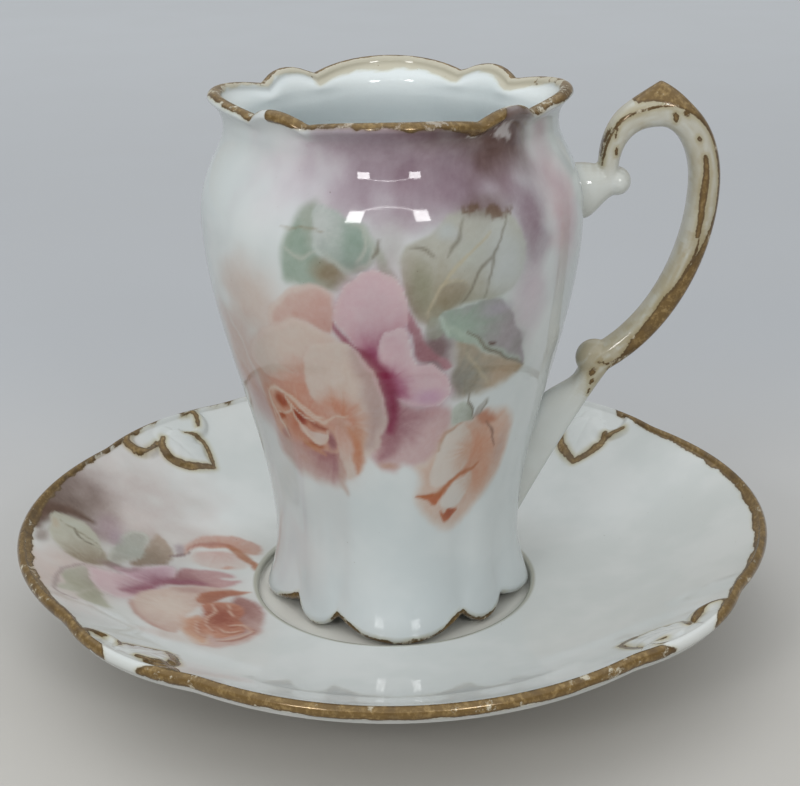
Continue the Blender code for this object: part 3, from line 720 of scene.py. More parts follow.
def paint_peach_rose(e):
    """The full peach rose: outer petals first, then the big front petal and the curled heart."""
    e.wash((-22.5, 56), (10, 9), (0.91, 0.79, 0.74), 0.95)
    e.wash((-29, 46), (9, 12), (0.89, 0.71, 0.65), 0.9)
    e.wash((-27, 38), (10, 7), MAUVE_PALE, 0.6)
    e.petal([(-25, 46), (-24.6, 36), (-20, 30), (-11, 28), (-6, 32), (-3, 38), (-3.4, 46), (-7, 51.4),
             (-14, 54), (-22, 50.6)],
            (0.90, 0.71, 0.64), PEACH_DEEP, (-17, 38), cover=0.95, soft=1.2, shade=0.0, depth=1.4)
    e.stroke([(-30, 52), (-27.4, 48.4), (-26.4, 44), (-25, 39)], 0.6, (0.95, 0.86, 0.82), 0.7, 0.7)
    e.stroke([(-31.6, 45), (-29.6, 42), (-27.6, 39.6)], 1.2, (0.84, 0.60, 0.50), 0.4, 1.4)
    e.petal([(-19, 53.5), (-18, 56.3), (-15.5, 58.6), (-12.5, 60.3), (-10, 60.8), (-8.6, 60), (-8.4, 57.5),
             (-8.2, 55), (-9.2, 53.5), (-12, 54.2), (-15, 54.2), (-17.3, 53.2)],
            (0.90, 0.71, 0.65), (0.84, 0.57, 0.52), (-9, 55), rim=(0.95, 0.83, 0.78), soft=0.37, shade=0.1)
    e.petal([(-25, 46), (-23.5, 49.5), (-20.5, 52), (-17, 53.6), (-13.5, 54.8), (-10.5, 54), (-8.6, 52.9),
             (-8.4, 51), (-12, 49), (-14, 44.8), (-18, 43.7), (-22, 43.6)],
            PEACH_PALE, PEACH, (-15, 45), rim=(0.95, 0.80, 0.75), cover=0.95, soft=0.37, shade=0.15,
            depth=2.0)
    e.wash((-19.5, 43.8), (4.5, 2.0), PEACH_DEEP, 0.3)
    e.wash((-15.4, 43.6), (3.0, 2.2), PEACH_DEEP, 0.35)
    e.petal([(-14.2, 46.5), (-13, 49.5), (-11, 51.3), (-8.2, 52.3), (-6.6, 52), (-5.4, 50.4), (-4, 48),
             (-2.9, 45.3), (-1.9, 42), (-1.7, 39), (-2.4, 36.6), (-3.6, 34.6), (-5, 33.2), (-6.3, 33),
             (-7, 36), (-8, 38.6), (-10, 40.2), (-12.5, 41), (-14.4, 43)],
            PEACH_PALE, PEACH_DEEP, (-9, 39), cover=0.95, soft=0.43, shade=0.1, depth=2.0)
    e.stroke([(-6, 50.6), (-4.4, 47.2), (-3.4, 43), (-3.2, 39), (-4.6, 35)], 2.6, PEACH_SHADE, 0.6, 2.2)
    e.stroke([(-6.4, 51.7), (-4.3, 48.4), (-2.6, 44), (-2, 40)], 0.4, (0.88, 0.68, 0.68), 0.75, 0.35)
    e.stroke([(-14, 48), (-12, 50.8), (-8.6, 52.2)], 0.4, (0.95, 0.82, 0.77), 0.6, 0.5)
    e.wash((-9.6, 41.2), (4.4, 1.9), PEACH_DEEP, 0.6)
    e.wash((-6.4, 35.6), (2.0, 3.8), (0.82, 0.46, 0.30), 0.6)
    paint_heart(e)


# %% The heart of the peach rose


def paint_heart(e):
    """The curled heart: dark hollows between pale petal edges."""
    e.petal([(-25, 33.5), (-22, 33), (-18.5, 32.8), (-14.5, 32.6), (-11, 33), (-10.4, 30), (-11, 27.5),
             (-13, 26.4), (-17, 26.6), (-21, 27.6), (-25, 29.6)],
            (0.85, 0.65, 0.61), MAUVE, (-11.6, 33), cover=0.9, soft=1.5, shade=0.0, depth=1.5)
    e.petal([(-23.6, 37), (-23.4, 40.3), (-22, 41.8), (-19.8, 42), (-17.8, 40.9), (-16, 39.2), (-14, 37.8),
             (-12, 37.8), (-10.6, 36.8), (-10.2, 34), (-11, 32.4), (-14, 32.6), (-17, 33.2), (-19.5, 34),
             (-21.5, 34.8), (-23, 33.4), (-24, 34.5)],
            (0.90, 0.65, 0.55), (0.80, 0.44, 0.31), (-17.5, 37), cover=0.95, soft=0.43, shade=0.2)
    for spot, size, colour in (
        ((-20.3, 40), (2.3, 2.1), (0.60, 0.18, 0.08)),
        ((-17.2, 38), (2.0, 2.2), RUST),
        ((-21.4, 36.7), (1.6, 0.8), (0.66, 0.24, 0.13)),
        ((-11.6, 34.6), (1.6, 2.8), (0.60, 0.34, 0.36)),
        ((-21.6, 33.9), (1.6, 1.2), (0.74, 0.47, 0.42)),
        ((-15.6, 33.2), (3.0, 0.9), (0.66, 0.29, 0.16)),
    ):
        e.wash(spot, size, colour, 0.95, 0.32)
    e.stroke([(-15.6, 37.6), (-14, 36.9), (-12, 36.8)], 0.8, (0.58, 0.22, 0.14), 0.8, 0.6)
    e.petal([(-18, 35.8), (-16.3, 34.4), (-14.6, 33.3), (-12.9, 34), (-12.2, 35.5), (-13.4, 35.7),
             (-15.4, 35.8), (-17, 36.6)],
            (0.92, 0.78, 0.73), PEACH, (-18.4, 36.6), cover=0.9, shade=0.3, depth=1.3)
    for line, width in (
        ([(-23.4, 36.5), (-23.3, 40.2), (-22, 41.7), (-19.8, 42), (-17.6, 40.8), (-15.4, 38.9), (-13.4, 38),
          (-11.4, 38.2), (-9.4, 39.3), (-8, 39.5)], 0.55),
        ([(-19, 41), (-18.1, 39.4), (-16.2, 38.2), (-14.2, 37.4)], 0.4),
        ([(-22.2, 37.5), (-20.6, 37.5), (-19, 38.3), (-18.3, 39.6)], 0.4),
        ([(-18.9, 40.6), (-18.6, 38.6), (-17.6, 36.4), (-15.8, 34.5), (-14.2, 33.6), (-12.8, 34.2),
          (-12, 36.6)], 0.5),
        ([(-23.4, 41.2), (-23, 38.5), (-22.2, 36), (-21.2, 33.4)], 0.5),
        ([(-17.8, 41.4), (-15.6, 39.8), (-13.8, 38.6), (-12, 38.6)], 0.4),
    ):
        e.stroke(line, width, (0.95, 0.79, 0.70), 0.85, 0.4)
    e.stroke([(-17.4, 33.6), (-15.4, 32.5), (-13.4, 31.7)], 1.0, (0.84, 0.52, 0.36), 0.7, 0.8)
    e.petal([(-10.4, 36.4), (-9.6, 37.4), (-8.6, 36.2), (-7.7, 34), (-7.6, 31.5), (-8.2, 29.3),
             (-9.2, 28.6), (-10, 31), (-10.6, 33.6)],
            PEACH_PALE, PEACH, (-9.6, 37.6), soft=0.31, shade=0.2)
    e.stroke([(-8.2, 37.4), (-7, 34.6), (-6.8, 31.5), (-7.2, 29.6)], 1.5, (0.80, 0.40, 0.24), 0.75, 1.1)
    e.stroke([(-10.3, 31.5), (-10.5, 28), (-10, 25.4)], 1.2, (0.82, 0.64, 0.58), 0.7, 1.2)


# %% [markdown]
# ## Bud
# The bud hangs from its calyx with three closed petals. Two sharp orange folds give it its depth.

# %% Bud


def paint_bud(e):
    """The hanging bud with its calyx."""
    e.petal([(3, 31), (4, 29), (3.4, 26.5), (3.2, 25.2), (4.5, 22.5), (6, 20.6), (8.6, 19.2),
             (11.5, 18.8), (14.5, 19.8), (16.5, 22), (19.5, 24), (21.8, 26.5), (22.8, 30), (22.6, 33.5),
             (21.6, 36), (19.6, 37.6), (16.5, 38.4), (13.8, 38.2), (11.5, 37.6), (8.8, 37.2), (7, 36),
             (6.2, 33.5), (4.5, 31.4)],
            (0.94, 0.75, 0.66), (0.88, 0.54, 0.40), (15, 31), soft=1.3, shade=0.0, depth=1.25)
    e.wash((20.4, 31), (2.6, 5.4), (0.82, 0.62, 0.55), 0.7)
    e.wash((15.2, 31.6), (3.2, 5), (0.88, 0.54, 0.40), 0.6)
    e.wash((16.4, 26.6), (3, 3.6), (0.89, 0.56, 0.42), 0.7)
    e.petal([(6.8, 35), (8.4, 36.8), (10.5, 37), (12.3, 35.6), (13.3, 33), (13.2, 30.5), (12, 28.8),
             (9.8, 27.3), (7.2, 26.6), (5.6, 27.4), (6, 30.5), (6.5, 33)],
            (0.97, 0.88, 0.83), (0.88, 0.62, 0.50), (13.6, 32), cover=0.93, soft=0.43, shade=0.1,
            depth=1.5)
    e.stroke([(6.7, 33.5), (7, 35.3), (8.4, 36.8), (10.2, 37.3)], 0.5, (0.78, 0.54, 0.43), 0.75, 0.7)
    e.petal([(7.9, 23.4), (8.2, 24.8), (9.6, 26), (12, 27.2), (14.2, 28.2), (14.8, 26.5), (14, 24.6),
             (12.6, 22.8), (10.8, 22.3), (9, 22.4)],
            (0.97, 0.90, 0.86), (0.89, 0.67, 0.56), (15.2, 26.4), cover=0.93, soft=0.37, shade=0.1,
            depth=1.5)
    e.petal([(3.4, 25.6), (5, 25.6), (7, 25.4), (8, 25.7), (7.5, 24.4), (7, 23.4), (6.2, 23.6), (5, 24.5)],
            (0.74, 0.32, 0.13), ORANGE, (6.5, 24.8), cover=0.9, soft=0.31, shade=0.0)
    e.stroke([(3.4, 25.7), (6, 25.3), (8.2, 25.8), (10.4, 27.2), (12.2, 28.3), (14.5, 28.6), (15.8, 29.2)],
             0.75, (0.72, 0.33, 0.17), 0.9, 0.6)
    e.petal([(8, 22), (9, 21.4), (9.6, 22.2), (10.6, 22.2), (12, 21.6), (11, 20.8), (10, 20), (9, 19.8),
             (8.4, 20.8)],
            (0.74, 0.32, 0.17), (0.64, 0.20, 0.08), (10, 21.4), cover=0.9, shade=0.0)
    e.stroke([(13.6, 38.3), (15.4, 37.4), (17.6, 36.5)], 1.8, (0.78, 0.42, 0.29), 0.85, 1.2)
    e.stroke([(15.4, 37), (16.8, 35), (18, 32.6), (18.6, 31.4)], 0.35, (0.46, 0.28, 0.22), 0.85, 0.35)
    e.petal([(8.6, 38), (8.4, 40), (9.8, 41.4), (11.4, 40.6), (12.3, 39.2), (12.6, 37.9), (10.5, 37.4)],
            (0.76, 0.78, 0.72), (0.58, 0.58, 0.50), (12.2, 38.6), cover=0.85, soft=0.31, shade=0.1)
    e.petal([(13, 38.2), (13.2, 39.6), (14.4, 41.2), (14.9, 40), (14.4, 38.8)],
            (0.78, 0.75, 0.71), (0.62, 0.56, 0.52), (13.2, 38.2), cover=0.8, shade=0.0)
    e.stroke([(10.9, 42.4), (11.2, 40.9), (12.2, 39.6), (12.8, 38)], 0.38, STEM, 0.8, 0.3)
    e.stroke([(14.8, 41), (14.6, 39.6), (14, 38.4)], 0.3, STEM, 0.5, 0.3)


# %% [markdown]
# ## The whole spray
# The kiln melts the layers together and deepens them. A power does the same to a share of light: it leaves
# white as it is and darkens the strong colours most. A fine grain in that power gives the dusted look of
# a print.

# %% The whole spray
PRINT_GRAIN = ((0.07, 0.45, 8), (0.06, 1.1, 9))
CUP_FIRING = 1.5
CUP_PAINTERS = (
    paint_ground, paint_left_leaves, paint_big_leaf, paint_right_leaves,
    paint_pink_rose, paint_peach_rose, paint_bud,
)


def spray(painters, firing, across, up):
    """The tint of each spot after all painters and the kiln."""
    e = Enamel(across.ravel(), up.ravel())
    for paint in painters:
        paint(e)
    grain = mottles(across.ravel(), up.ravel(), *PRINT_GRAIN, start=1.0)
    tint = np.clip(e.tint, 0.0, 1.0) ** (firing * grain[:, None])
    return tint.reshape(across.shape + (3,))


print("painted from back to front:", ", ".join(paint.__name__ for paint in CUP_PAINTERS))

# %% [markdown]
# ## Paint and gilding on the cup
# The front of the cup carries the spray. The lip and the foot were gilded with a loaded brush and have
# worn since. Each point keeps how far inside a gilt band it lies, in millimetres, and the material later
# frays that edge with noise. A second number says how rubbed the gold is. Both change round the cup, so
# they are written as a few places across the front, 0 in the middle and about 82 at the back. A thin rest
# of gold tints the glaze beside a band, and painted light makes the inside of the cup a little lighter
# than the outside.

# %% Places of the cup's gold
LIP_GOLD_OUTSIDE = (
    (-82, 0.45), (-60, 0.4), (-34, 0.7), (-28, 0.75), (-23.5, 0.4), (-22.6, -0.5), (-21.6, -0.5),
    (-21.2, 1.2), (-16.5, 1.6), (-14.4, 0.6), (-13, 0.8), (4, 0.9), (9, 1.3), (16, 1.9), (18, 1.0),
    (19, -0.1), (21.5, -0.2), (22.2, 0.5), (30, 0.8), (36, 0.8), (60, 0.4), (82, 0.45),
)
LIP_GOLD_INSIDE = (
    (-82, 1.9), (-68, 1.7), (-66, 0.5), (-50, 0.5), (-20, 0.8), (20, 0.8), (46, 0.7), (52, 1.5),
    (58, 1.7), (65, 0.9), (68, 1.7), (82, 1.9),
)
LIP_RUBBED = (
    (-82, 0.35), (-60, 0.4), (-45, 0.5), (-34, 0.42), (-24, 0.5), (-21.5, 0.25), (-15, 0.3), (-13.5, 0.5),
    (6, 0.46), (9, 0.3), (17, 0.22), (20, 0.8), (24, 0.42), (36, 0.42), (46, 0.6), (60, 0.4), (82, 0.35),
)
LIP_INSIDE_RUBBED = (
    (-82, 0.98), (-55, 0.95), (-40, 0.6), (-30, 0.4), (30, 0.4), (40, 0.6), (55, 0.95), (82, 0.98),
)
FOOT_GOLD = (
    (-82, -0.3), (-34, -0.2), (-28, 0.35), (-25, 0.1), (-22, -0.4), (-17, -0.3), (-14, 0.3), (-11, 0.45),
    (-8, 0.05), (0, -0.05), (8, 0.05), (11, 0.4), (14, 0.1), (17, -0.3), (21, 0.35), (23, 0.1),
    (26, -0.4), (82, -0.3),
)
FOOT_RUBBED = 0.42

# %% Gild the cup
NO_GOLD = -5.0
LIP_RAGGED = ((0.35, 2.6, 21), (0.2, 0.9, 22))
FOOT_RAGGED = 0.5
HEEL_GOLD = 0.2
INNER_LIP = 0.3


def along_list(values, spot):
    """A number that changes along a list of places."""
    places, numbers = zip(*values)
    return np.interp(spot, places, numbers)


def lip_top(angles):
    """Height of the lip's crest round the cup."""
    return CUP_HEIGHT + CUP_SCALLOPS[-1] * hollow_at(angles)


def cup_gilding():
    """How deep each point of the cup lies in a gilt band, how rubbed it is and how far below the lip."""
    across = PRINT_RADIUS * (cup_angles - FRONT)
    height = cup_points[..., 2]
    below_lip = lip_top(cup_angles) - height
    side = np.broadcast_to(cup_side[:, None], height.shape)
    inner = np.isin(side, ("inside", "fillet", "floor"))
    inner = inner | ((side == "lip") & (cup_stack[:, :1] < CUP_RADII[-1] - CUP_WALL / 2.0 - INNER_LIP))
    ragged = mottles(across, 0.0 * across, *LIP_RAGGED)
    band = np.where(inner, along_list(LIP_GOLD_INSIDE, across), along_list(LIP_GOLD_OUTSIDE, across))
    depth = band + ragged - below_lip
    foot_rise = height - FOOT_ROUND - CUP_SCALLOPS[0] * hollow_at(cup_angles)
    foot_band = along_list(FOOT_GOLD, across) + FOOT_RAGGED * ragged
    heel = np.where(side == "heel", foot_band + HEEL_GOLD, NO_GOLD)
    foot = np.where(side == "outside", foot_band - foot_rise, heel)
    rubbed = np.where(inner, along_list(LIP_INSIDE_RUBBED, across), along_list(LIP_RUBBED, across))
    return np.maximum(depth, foot), np.where(height < WAIST_LEVEL, FOOT_RUBBED, rubbed), below_lip


cup_gilt, cup_rubbed, below_lip = cup_gilding()
print(f"gilt share of the cup: {(cup_gilt > 0.0).mean():.2f}")

# %% Paint the cup
THIN_GOLD = np.array((0.80, 0.73, 0.56))
FULL_HAZE = 0.2
CUP_HAZE = 0.4
# Painted light: the inside of the cup is made lighter than the outside, from this depth below the lip down
INSIDE_PAINTED_LIGHT = 0.3
INSIDE_LIGHT_DEPTH = 3.0
PLAIN_WHITE = 0.97


def hazed(tint, gilt, reach):
    """Straw colour where a thin rest of gold is left, in the gold and for some millimetres round it."""
    share = smooth(-reach, FULL_HAZE, gilt)[..., None]
    return tint * (1.0 - share * (1.0 - THIN_GOLD))


def note(mesh, name, values):
    """Keep one number, or one colour, for each point of a mesh."""
    if values.ndim == 1:
        mesh.attributes.new(name, "FLOAT", "POINT").data.foreach_set("value", values)
        return
    colours = np.concatenate((values, np.ones((len(values), 1))), axis=1)
    mesh.attributes.new(name, "FLOAT_COLOR", "POINT").data.foreach_set("color", colours.ravel())


def dress(mesh, tint, gilt, rubbed):
    """Keep the enamel's tint, the depth of the gold and its wear on each point of a mesh."""
    note(mesh, "enamel", tint.reshape(-1, 3))
    note(mesh, "gilt", gilt.ravel())
    note(mesh, "rubbed", rubbed.ravel())


outer_lip = (cup_side == "lip") & (cup_stack[:, 0] > CUP_RADII[-1] - CUP_WALL / 2.0)
outside = (cup_side == "outside") | outer_lip
spray_across = PRINT_RADIUS * (cup_angles - FRONT)
across, up = np.meshgrid(spray_across, cup_stack[outside, 1])
inside = np.isin(cup_side, ("inside", "fillet", "floor"))[:, None]
# Painted light inside the cup, lifting its white below the lip
inside_painted_light = 1.0 + INSIDE_PAINTED_LIGHT * smooth(0.0, INSIDE_LIGHT_DEPTH, below_lip) * inside
cup_tint = np.repeat(inside_painted_light[..., None], 3, axis=2)
cup_tint[outside] = spray(CUP_PAINTERS, CUP_FIRING, across, up)
cup_tint = hazed(cup_tint, cup_gilt, CUP_HAZE)
dress(cup_mesh, cup_tint, cup_gilt, cup_rubbed)
print(f"painted share of the cup: {(cup_tint.min(axis=2) < PLAIN_WHITE).mean():.2f}")

# %% [markdown]
# ## The scroll handle
# The handle is cast by itself and luted on with slip: a strap that rises from a scroll eye, peaks in a
# thumb spur, bows out and runs over a knuckle into a tail. The strap is swept along a chain of Bezier
# spans. Root, eye and knuckle are shapes of their own, and a fine voxel remesh melts them into one, as
# the slip and glaze do.

# %% The handle's knots
KNUCKLE_LEVEL = 39.3
TAIL_LEVEL = 13.1
ARM_KNOT = (BELLY_RADIUS + 3.7, CUP_HEIGHT - 15.2)
ARCH_KNOT = (BELLY_RADIUS + 11.3, CUP_HEIGHT - 4.4)
BOW_KNOT = (BELLY_RADIUS + 18.5, CUP_HEIGHT - 15.6)
KNUCKLE_KNOT = (float(body_radius(KNUCKLE_LEVEL)) + 7.7, KNUCKLE_LEVEL)
TAIL_KNOT = (float(body_radius(TAIL_LEVEL)) - 1.4, TAIL_LEVEL)
HANDLE_KNOTS = (
    # place, heading in degrees, pull before and after it, half thickness and half width there
    dict(place=ARM_KNOT, heading=93.0, trail=0.0, lead=7.13, thick=1.50, wide=2.3),
    dict(place=ARCH_KNOT, heading=0.0, trail=5.09, lead=4.10, thick=2.45, wide=2.8),
    dict(place=BOW_KNOT, heading=-90.0, trail=6.16, lead=11.28, thick=2.35, wide=3.0),
    dict(place=KNUCKLE_KNOT, heading=-151.0, trail=10.43, lead=0.6, thick=2.10, wide=2.6),
    dict(place=TAIL_KNOT, heading=-117.0, trail=16.7, lead=0.0, thick=1.25, wide=2.0),
)

# %% The handle's line
SPAN_STEPS = 48


def unit(degrees):
    """A direction in the handle's plane."""
    return np.array((math.cos(math.radians(degrees)), math.sin(math.radians(degrees))))


def handle_line():
    """Centres of the strap, its half thickness and half width, from the eye to the tail."""
    centres = []
    thick = []
    wide = []
    shares = np.linspace(0.0, 1.0, SPAN_STEPS, endpoint=False)
    for start, end in zip(HANDLE_KNOTS, HANDLE_KNOTS[1:]):
        a = np.array(start["place"])
        b = np.array(end["place"])
        if end is HANDLE_KNOTS[-1]:
            shares = np.linspace(0.0, 1.0, SPAN_STEPS)
        first_pull = a + unit(start["heading"]) * start["lead"]
        last_pull = b - unit(end["heading"]) * end["trail"]
        centres.append(bezier(a, first_pull, last_pull, b, shares))
        ease = smooth(0.0, 1.0, shares)
        thick.append(start["thick"] + ease * (end["thick"] - start["thick"]))
        wide.append(start["wide"] + ease * (end["wide"] - start["wide"]))
    return np.concatenate(centres), np.concatenate(thick), np.concatenate(wide)


strap_centres, strap_thick, strap_wide = handle_line()
strap_along = np.gradient(strap_centres, axis=0)
strap_along /= np.linalg.norm(strap_along, axis=1, keepdims=True)
strap_outward = np.stack((-strap_along[:, 1], strap_along[:, 0]), axis=1)
strap_length = np.concatenate(([0.0], np.cumsum(np.linalg.norm(np.diff(strap_centres, axis=0), axis=1))))
knot_numbers = [min(i * SPAN_STEPS, len(strap_length) - 1) for i in range(len(HANDLE_KNOTS))]
print(f"handle: {strap_length[-1]:.0f} mm from eye to tail, knots at", strap_length[knot_numbers].round(1))

# %% [markdown]
# ## The handle's shapes
# The strap is a rounded rectangle in section. On the arch its outer side rises into the spur for the thumb,
# and behind the strut it grows a web that reaches the cup. The voxels of the remesh are about a fifth of
# a millimetre, and a dozen passes of smoothing take their steps away.

# %% The strap
STRAP_SIDES = 40
STRAP_SQUARENESS = 2.6
SPUR_HEIGHT = 2.0
SPUR_LENGTH = 4.4
SPUR_RIDGE = 4
WEB_DEPTH = 3.5
WEB_START = 0.33
WEB_END = 0.57
STRUT_SPAN = 3


def rounded_section(squareness, sides=STRAP_SIDES):
    """A rounded rectangle: the turn of each corner point and its place as shares of the half sizes."""
    turn = np.arange(sides) * math.tau / sides
    out = np.sign(np.cos(turn)) * np.abs(np.cos(turn)) ** (2.0 / squareness)
    aside = np.sign(np.sin(turn)) * np.abs(np.sin(turn)) ** (2.0 / squareness)
    return turn, out, aside


def strap_points():
    """The strap swept along its line: the spur stands on its arch, the web joins its strut to the body."""
    turn, out, aside = rounded_section(STRAP_SQUARENESS)
    past_arch = np.linalg.norm(strap_centres - ARCH_KNOT, axis=1) / SPUR_LENGTH
    spur = SPUR_HEIGHT * np.clip(1.0 - past_arch, 0.0, 1.0) ** 2
    down_strut = (np.arange(len(strap_centres)) - STRUT_SPAN * SPAN_STEPS) / SPAN_STEPS
    web = WEB_DEPTH * smooth(WEB_START, WEB_END, down_strut)
    reach = strap_thick[:, None] * out
    reach = reach + spur[:, None] * np.maximum(np.cos(turn), 0.0) ** SPUR_RIDGE
    reach = reach - web[:, None] * np.maximum(-np.cos(turn), 0.0)
    plane = strap_centres[:, None, :] + strap_outward[:, None, :] * reach[..., None]
    across = -strap_wide[:, None] * aside
    return np.stack((plane[..., 0], across, plane[..., 1]), axis=-1)


# %% Root and bosses
ROOT_HALF_HEIGHTS = np.array((4.3, 2.0))
ROOT_HALF_WIDTHS = np.array((3.6, 2.3))
ROOT_DROP = 1.4
ROOT_STEPS = 24
ROOT_SQUARENESS = 2.2
EYE_CENTRE = (ARM_KNOT[0] + 1.4, ARM_KNOT[1])
EYE_RADIUS = 2.2
EYE_HALF_WIDTH = 2.7
KNUCKLE_CENTRE = (KNUCKLE_KNOT[0] - 1.0, KNUCKLE_LEVEL)
KNUCKLE_RADIUS = 3.0
KNUCKLE_HALF_WIDTH = 2.6
BEAD_RINGS = 24
BEAD_POLE = 0.02


def root_points():
    """The short root from the cup's shoulder, where it flares and sags, to the scroll eye."""
    _, out, aside = rounded_section(ROOT_SQUARENESS)
    x = np.linspace(BELLY_RADIUS - CUP_WALL, EYE_CENTRE[0], ROOT_STEPS)[:, None]
    neck = smooth(BELLY_RADIUS, EYE_CENTRE[0], x)
    half_height = ROOT_HALF_HEIGHTS[0] + neck * (ROOT_HALF_HEIGHTS[1] - ROOT_HALF_HEIGHTS[0])
    half_width = ROOT_HALF_WIDTHS[0] + neck * (ROOT_HALF_WIDTHS[1] - ROOT_HALF_WIDTHS[0])
    z = EYE_CENTRE[1] - ROOT_DROP * (1.0 - neck) + half_height * out
    return np.stack((np.broadcast_to(x, z.shape), -half_width * aside, z), axis=-1)


def bead_points(centre, radius, half_width):
    """A round boss, wider across the handle than in its plane."""
    slope = np.linspace(BEAD_POLE, math.pi - BEAD_POLE, BEAD_RINGS)
    turn = np.arange(STRAP_SIDES) * math.tau / STRAP_SIDES
    ring = np.sin(slope)[:, None]
    return np.stack(
        (
            centre[0] + radius * ring * np.cos(turn),
            -half_width * np.cos(slope)[:, None] * np.ones_like(turn),
            centre[1] + radius * ring * np.sin(turn),
        ),
        axis=-1,
    )


# %% Melt the shapes into one
MELT_VOXEL = 0.22
MELT_PASSES = 12
MELT_FACTOR = 0.5


def melt(name, shapes, voxel, passes):
    """Join closed shapes and melt them into one skin."""
    parts = []
    for index, points in enumerate(shapes):
        part = bpy.data.objects.new(f"{name}_{index}", skin(f"{name}_{index}", points))
        bpy.context.scene.collection.objects.link(part)
        parts.append(part)
    with bpy.context.temp_override(active_object=parts[0], selected_editable_objects=parts):
        bpy.ops.object.join()
    whole = parts[0]
    remesh = whole.modifiers.new("melt", "REMESH")
    remesh.mode = "VOXEL"
    remesh.voxel_size = voxel * MM
    ease = whole.modifiers.new("ease", "SMOOTH")
    ease.factor = MELT_FACTOR
    ease.iterations = passes
    bpy.context.view_layer.update()
    mesh = bpy.data.meshes.new_from_object(whole.evaluated_get(bpy.context.evaluated_depsgraph_get()))
    bpy.data.objects.remove(whole)
    mesh.name = name
    mesh.shade_smooth()
    return mesh


handle_shapes = (
    strap_points(),
    root_points(),
    bead_points(EYE_CENTRE, EYE_RADIUS, EYE_HALF_WIDTH),
    bead_points(KNUCKLE_CENTRE, KNUCKLE_RADIUS, KNUCKLE_HALF_WIDTH),
)
handle_mesh = melt("cup_handle_gilt", handle_shapes, MELT_VOXEL, MELT_PASSES)
print(f"handle skin: {len(handle_mesh.vertices)} points")

# %% [markdown]
# ## Seating and gilding the handle
# Where the handle goes into the cup's wall it is trimmed to stay inside that wall. Its gold was brushed
# along the strap and is worn to streaks. The strokes are drawn on the strap laid out flat, as the length
# from the scroll eye and the distance outward from its middle, and the outer ridge is gold beyond an edge.
# Where hands have held it, the glaze is stained.

# %% Seat the handle
ROOT_SINK = 0.9


def mesh_points(mesh):
    """All points of a mesh, in millimetres."""
    points = np.zeros(len(mesh.vertices) * 3)
    mesh.vertices.foreach_get("co", points)
    return points.reshape(-1, 3) / MM


def seat_handle(points):
    """Keep the sunk ends of the handle inside the cup's wall."""
    away = np.hypot(points[:, 0], points[:, 1])
    least = body_radius(points[:, 2]) - ROOT_SINK
    push = np.where(away < least, least / np.maximum(away, TINY), 1.0)
    return points * np.stack((push, push, np.ones_like(push)), axis=1)


handle_points = seat_handle(mesh_points(handle_mesh))
handle_mesh.vertices.foreach_set("co", ((handle_points + CUP_PLACE) * MM).ravel())
print(f"the handle stands {handle_points[:, 0].max():.1f} mm out from the cup's axis")

# %% Places of the handle's gold
HANDLE_STROKES = (
    # length and distance outward, then the width of the brush
    ([(3, 1.2), (7.8, 1.2), (9.7, 1.25), (12.9, 0.9), (16.3, 1.2)], 0.45),
    ([(3.9, 1.5), (6.3, 1.6), (7.8, 1.6)], 0.35),
    ([(4.6, -0.6), (5.8, -0.3)], 0.4),
    ([(7.1, 0.5), (8.5, 1.0)], 0.4),
    ([(16.9, 0.2), (17.5, -0.7)], 0.9),
    ([(18.0, 1.0), (18.6, 1.0)], 0.7),
    ([(22.0, 0.0), (22.6, 0.1)], 0.6),
    ([(25.2, 0.0), (28.3, -0.3), (31.1, -0.5), (33.9, -0.45), (37.7, -0.2)], 1.05),
    ([(38, 0.1), (39.9, 0.3), (42.9, 0.05), (46.1, -0.25), (49.2, -0.9)], 0.4),
    ([(63.6, -0.7), (62.9, 0.5), (61.4, 0.8), (59.7, 0.7)], 0.35),
    ([(64.9, -0.4), (65.7, -0.4)], 0.9),
    ([(66.4, 0.3), (67.1, 0.3)], 0.7),
    ([(68.0, 0.7), (69.0, 1.0)], 0.4),
)
RIDGE_GOLD = (
    (0, 9), (10, 9), (12, 2.0), (12.8, 1.96), (13.9, 1.84), (15, 1.55), (16.3, 1.22), (17.9, 1.22),
    (19.9, 1.45), (21.6, 1.75), (24, 1.7), (34, 1.6), (37, 1.2), (40, 0.7), (43, 0.1), (46, -0.3),
    (49.5, -1.0), (53.5, -0.85), (57, -0.6), (59, 0.2), (61.5, 1.0), (64, 1.5), (66, 9), (93, 9),
)
HANDLE_RUBBED = (
    (0, 0.35), (9, 0.45), (12, 0.42), (15, 0.34), (18, 0.28), (24, 0.35), (26, 0.25), (36, 0.3),
    (40, 0.45), (46, 0.3), (54, 0.28), (58, 0.45), (64, 0.5), (66, 0.3),
)
HANDLE_STAIN = (
    (0, 0.05), (3, 0.35), (8, 0.5), (13, 0.55), (17, 0.45), (23, 0.5), (26, 0.6), (36, 0.65), (40, 0.8),
    (58, 0.85), (62, 0.95), (66, 0.8), (70, 0.15), (74, 0.0),
)

# %% Gild the handle
STAINED = np.array((0.68, 0.59, 0.44))
# How much finer across the strap than along it, then strength, size and seed
STAIN_STREAKS = ((5.0, 0.3, 3.0, 41), (3.0, 0.3, 1.1, 42))
BRUSH_ENDS = 0.7
BRUSH_SWELL = 0.4
HANDLE_HAZE = 0.9


def strap_place(points):
    """For each point: its length along the strap and its distance outward from the strap's middle."""
    plane = points[:, (0, 2)]
    nearest = np.argmin(((plane[:, None, :] - strap_centres[None]) ** 2).sum(axis=2), axis=1)
    outward = ((plane - strap_centres[nearest]) * strap_outward[nearest]).sum(axis=1)
    return strap_length[nearest], outward


def brushed(strokes, across, up):
    """How deep each spot lies in the gold of some strokes of the brush."""
    depth = np.full(across.shape, NO_GOLD)
    for line, width in strokes:
        away, along = distance_to(curve_through(line, False), across, up)
        depth = np.maximum(depth, width / 2.0 * (BRUSH_ENDS + BRUSH_SWELL * np.sin(math.pi * along)) - away)
    return depth


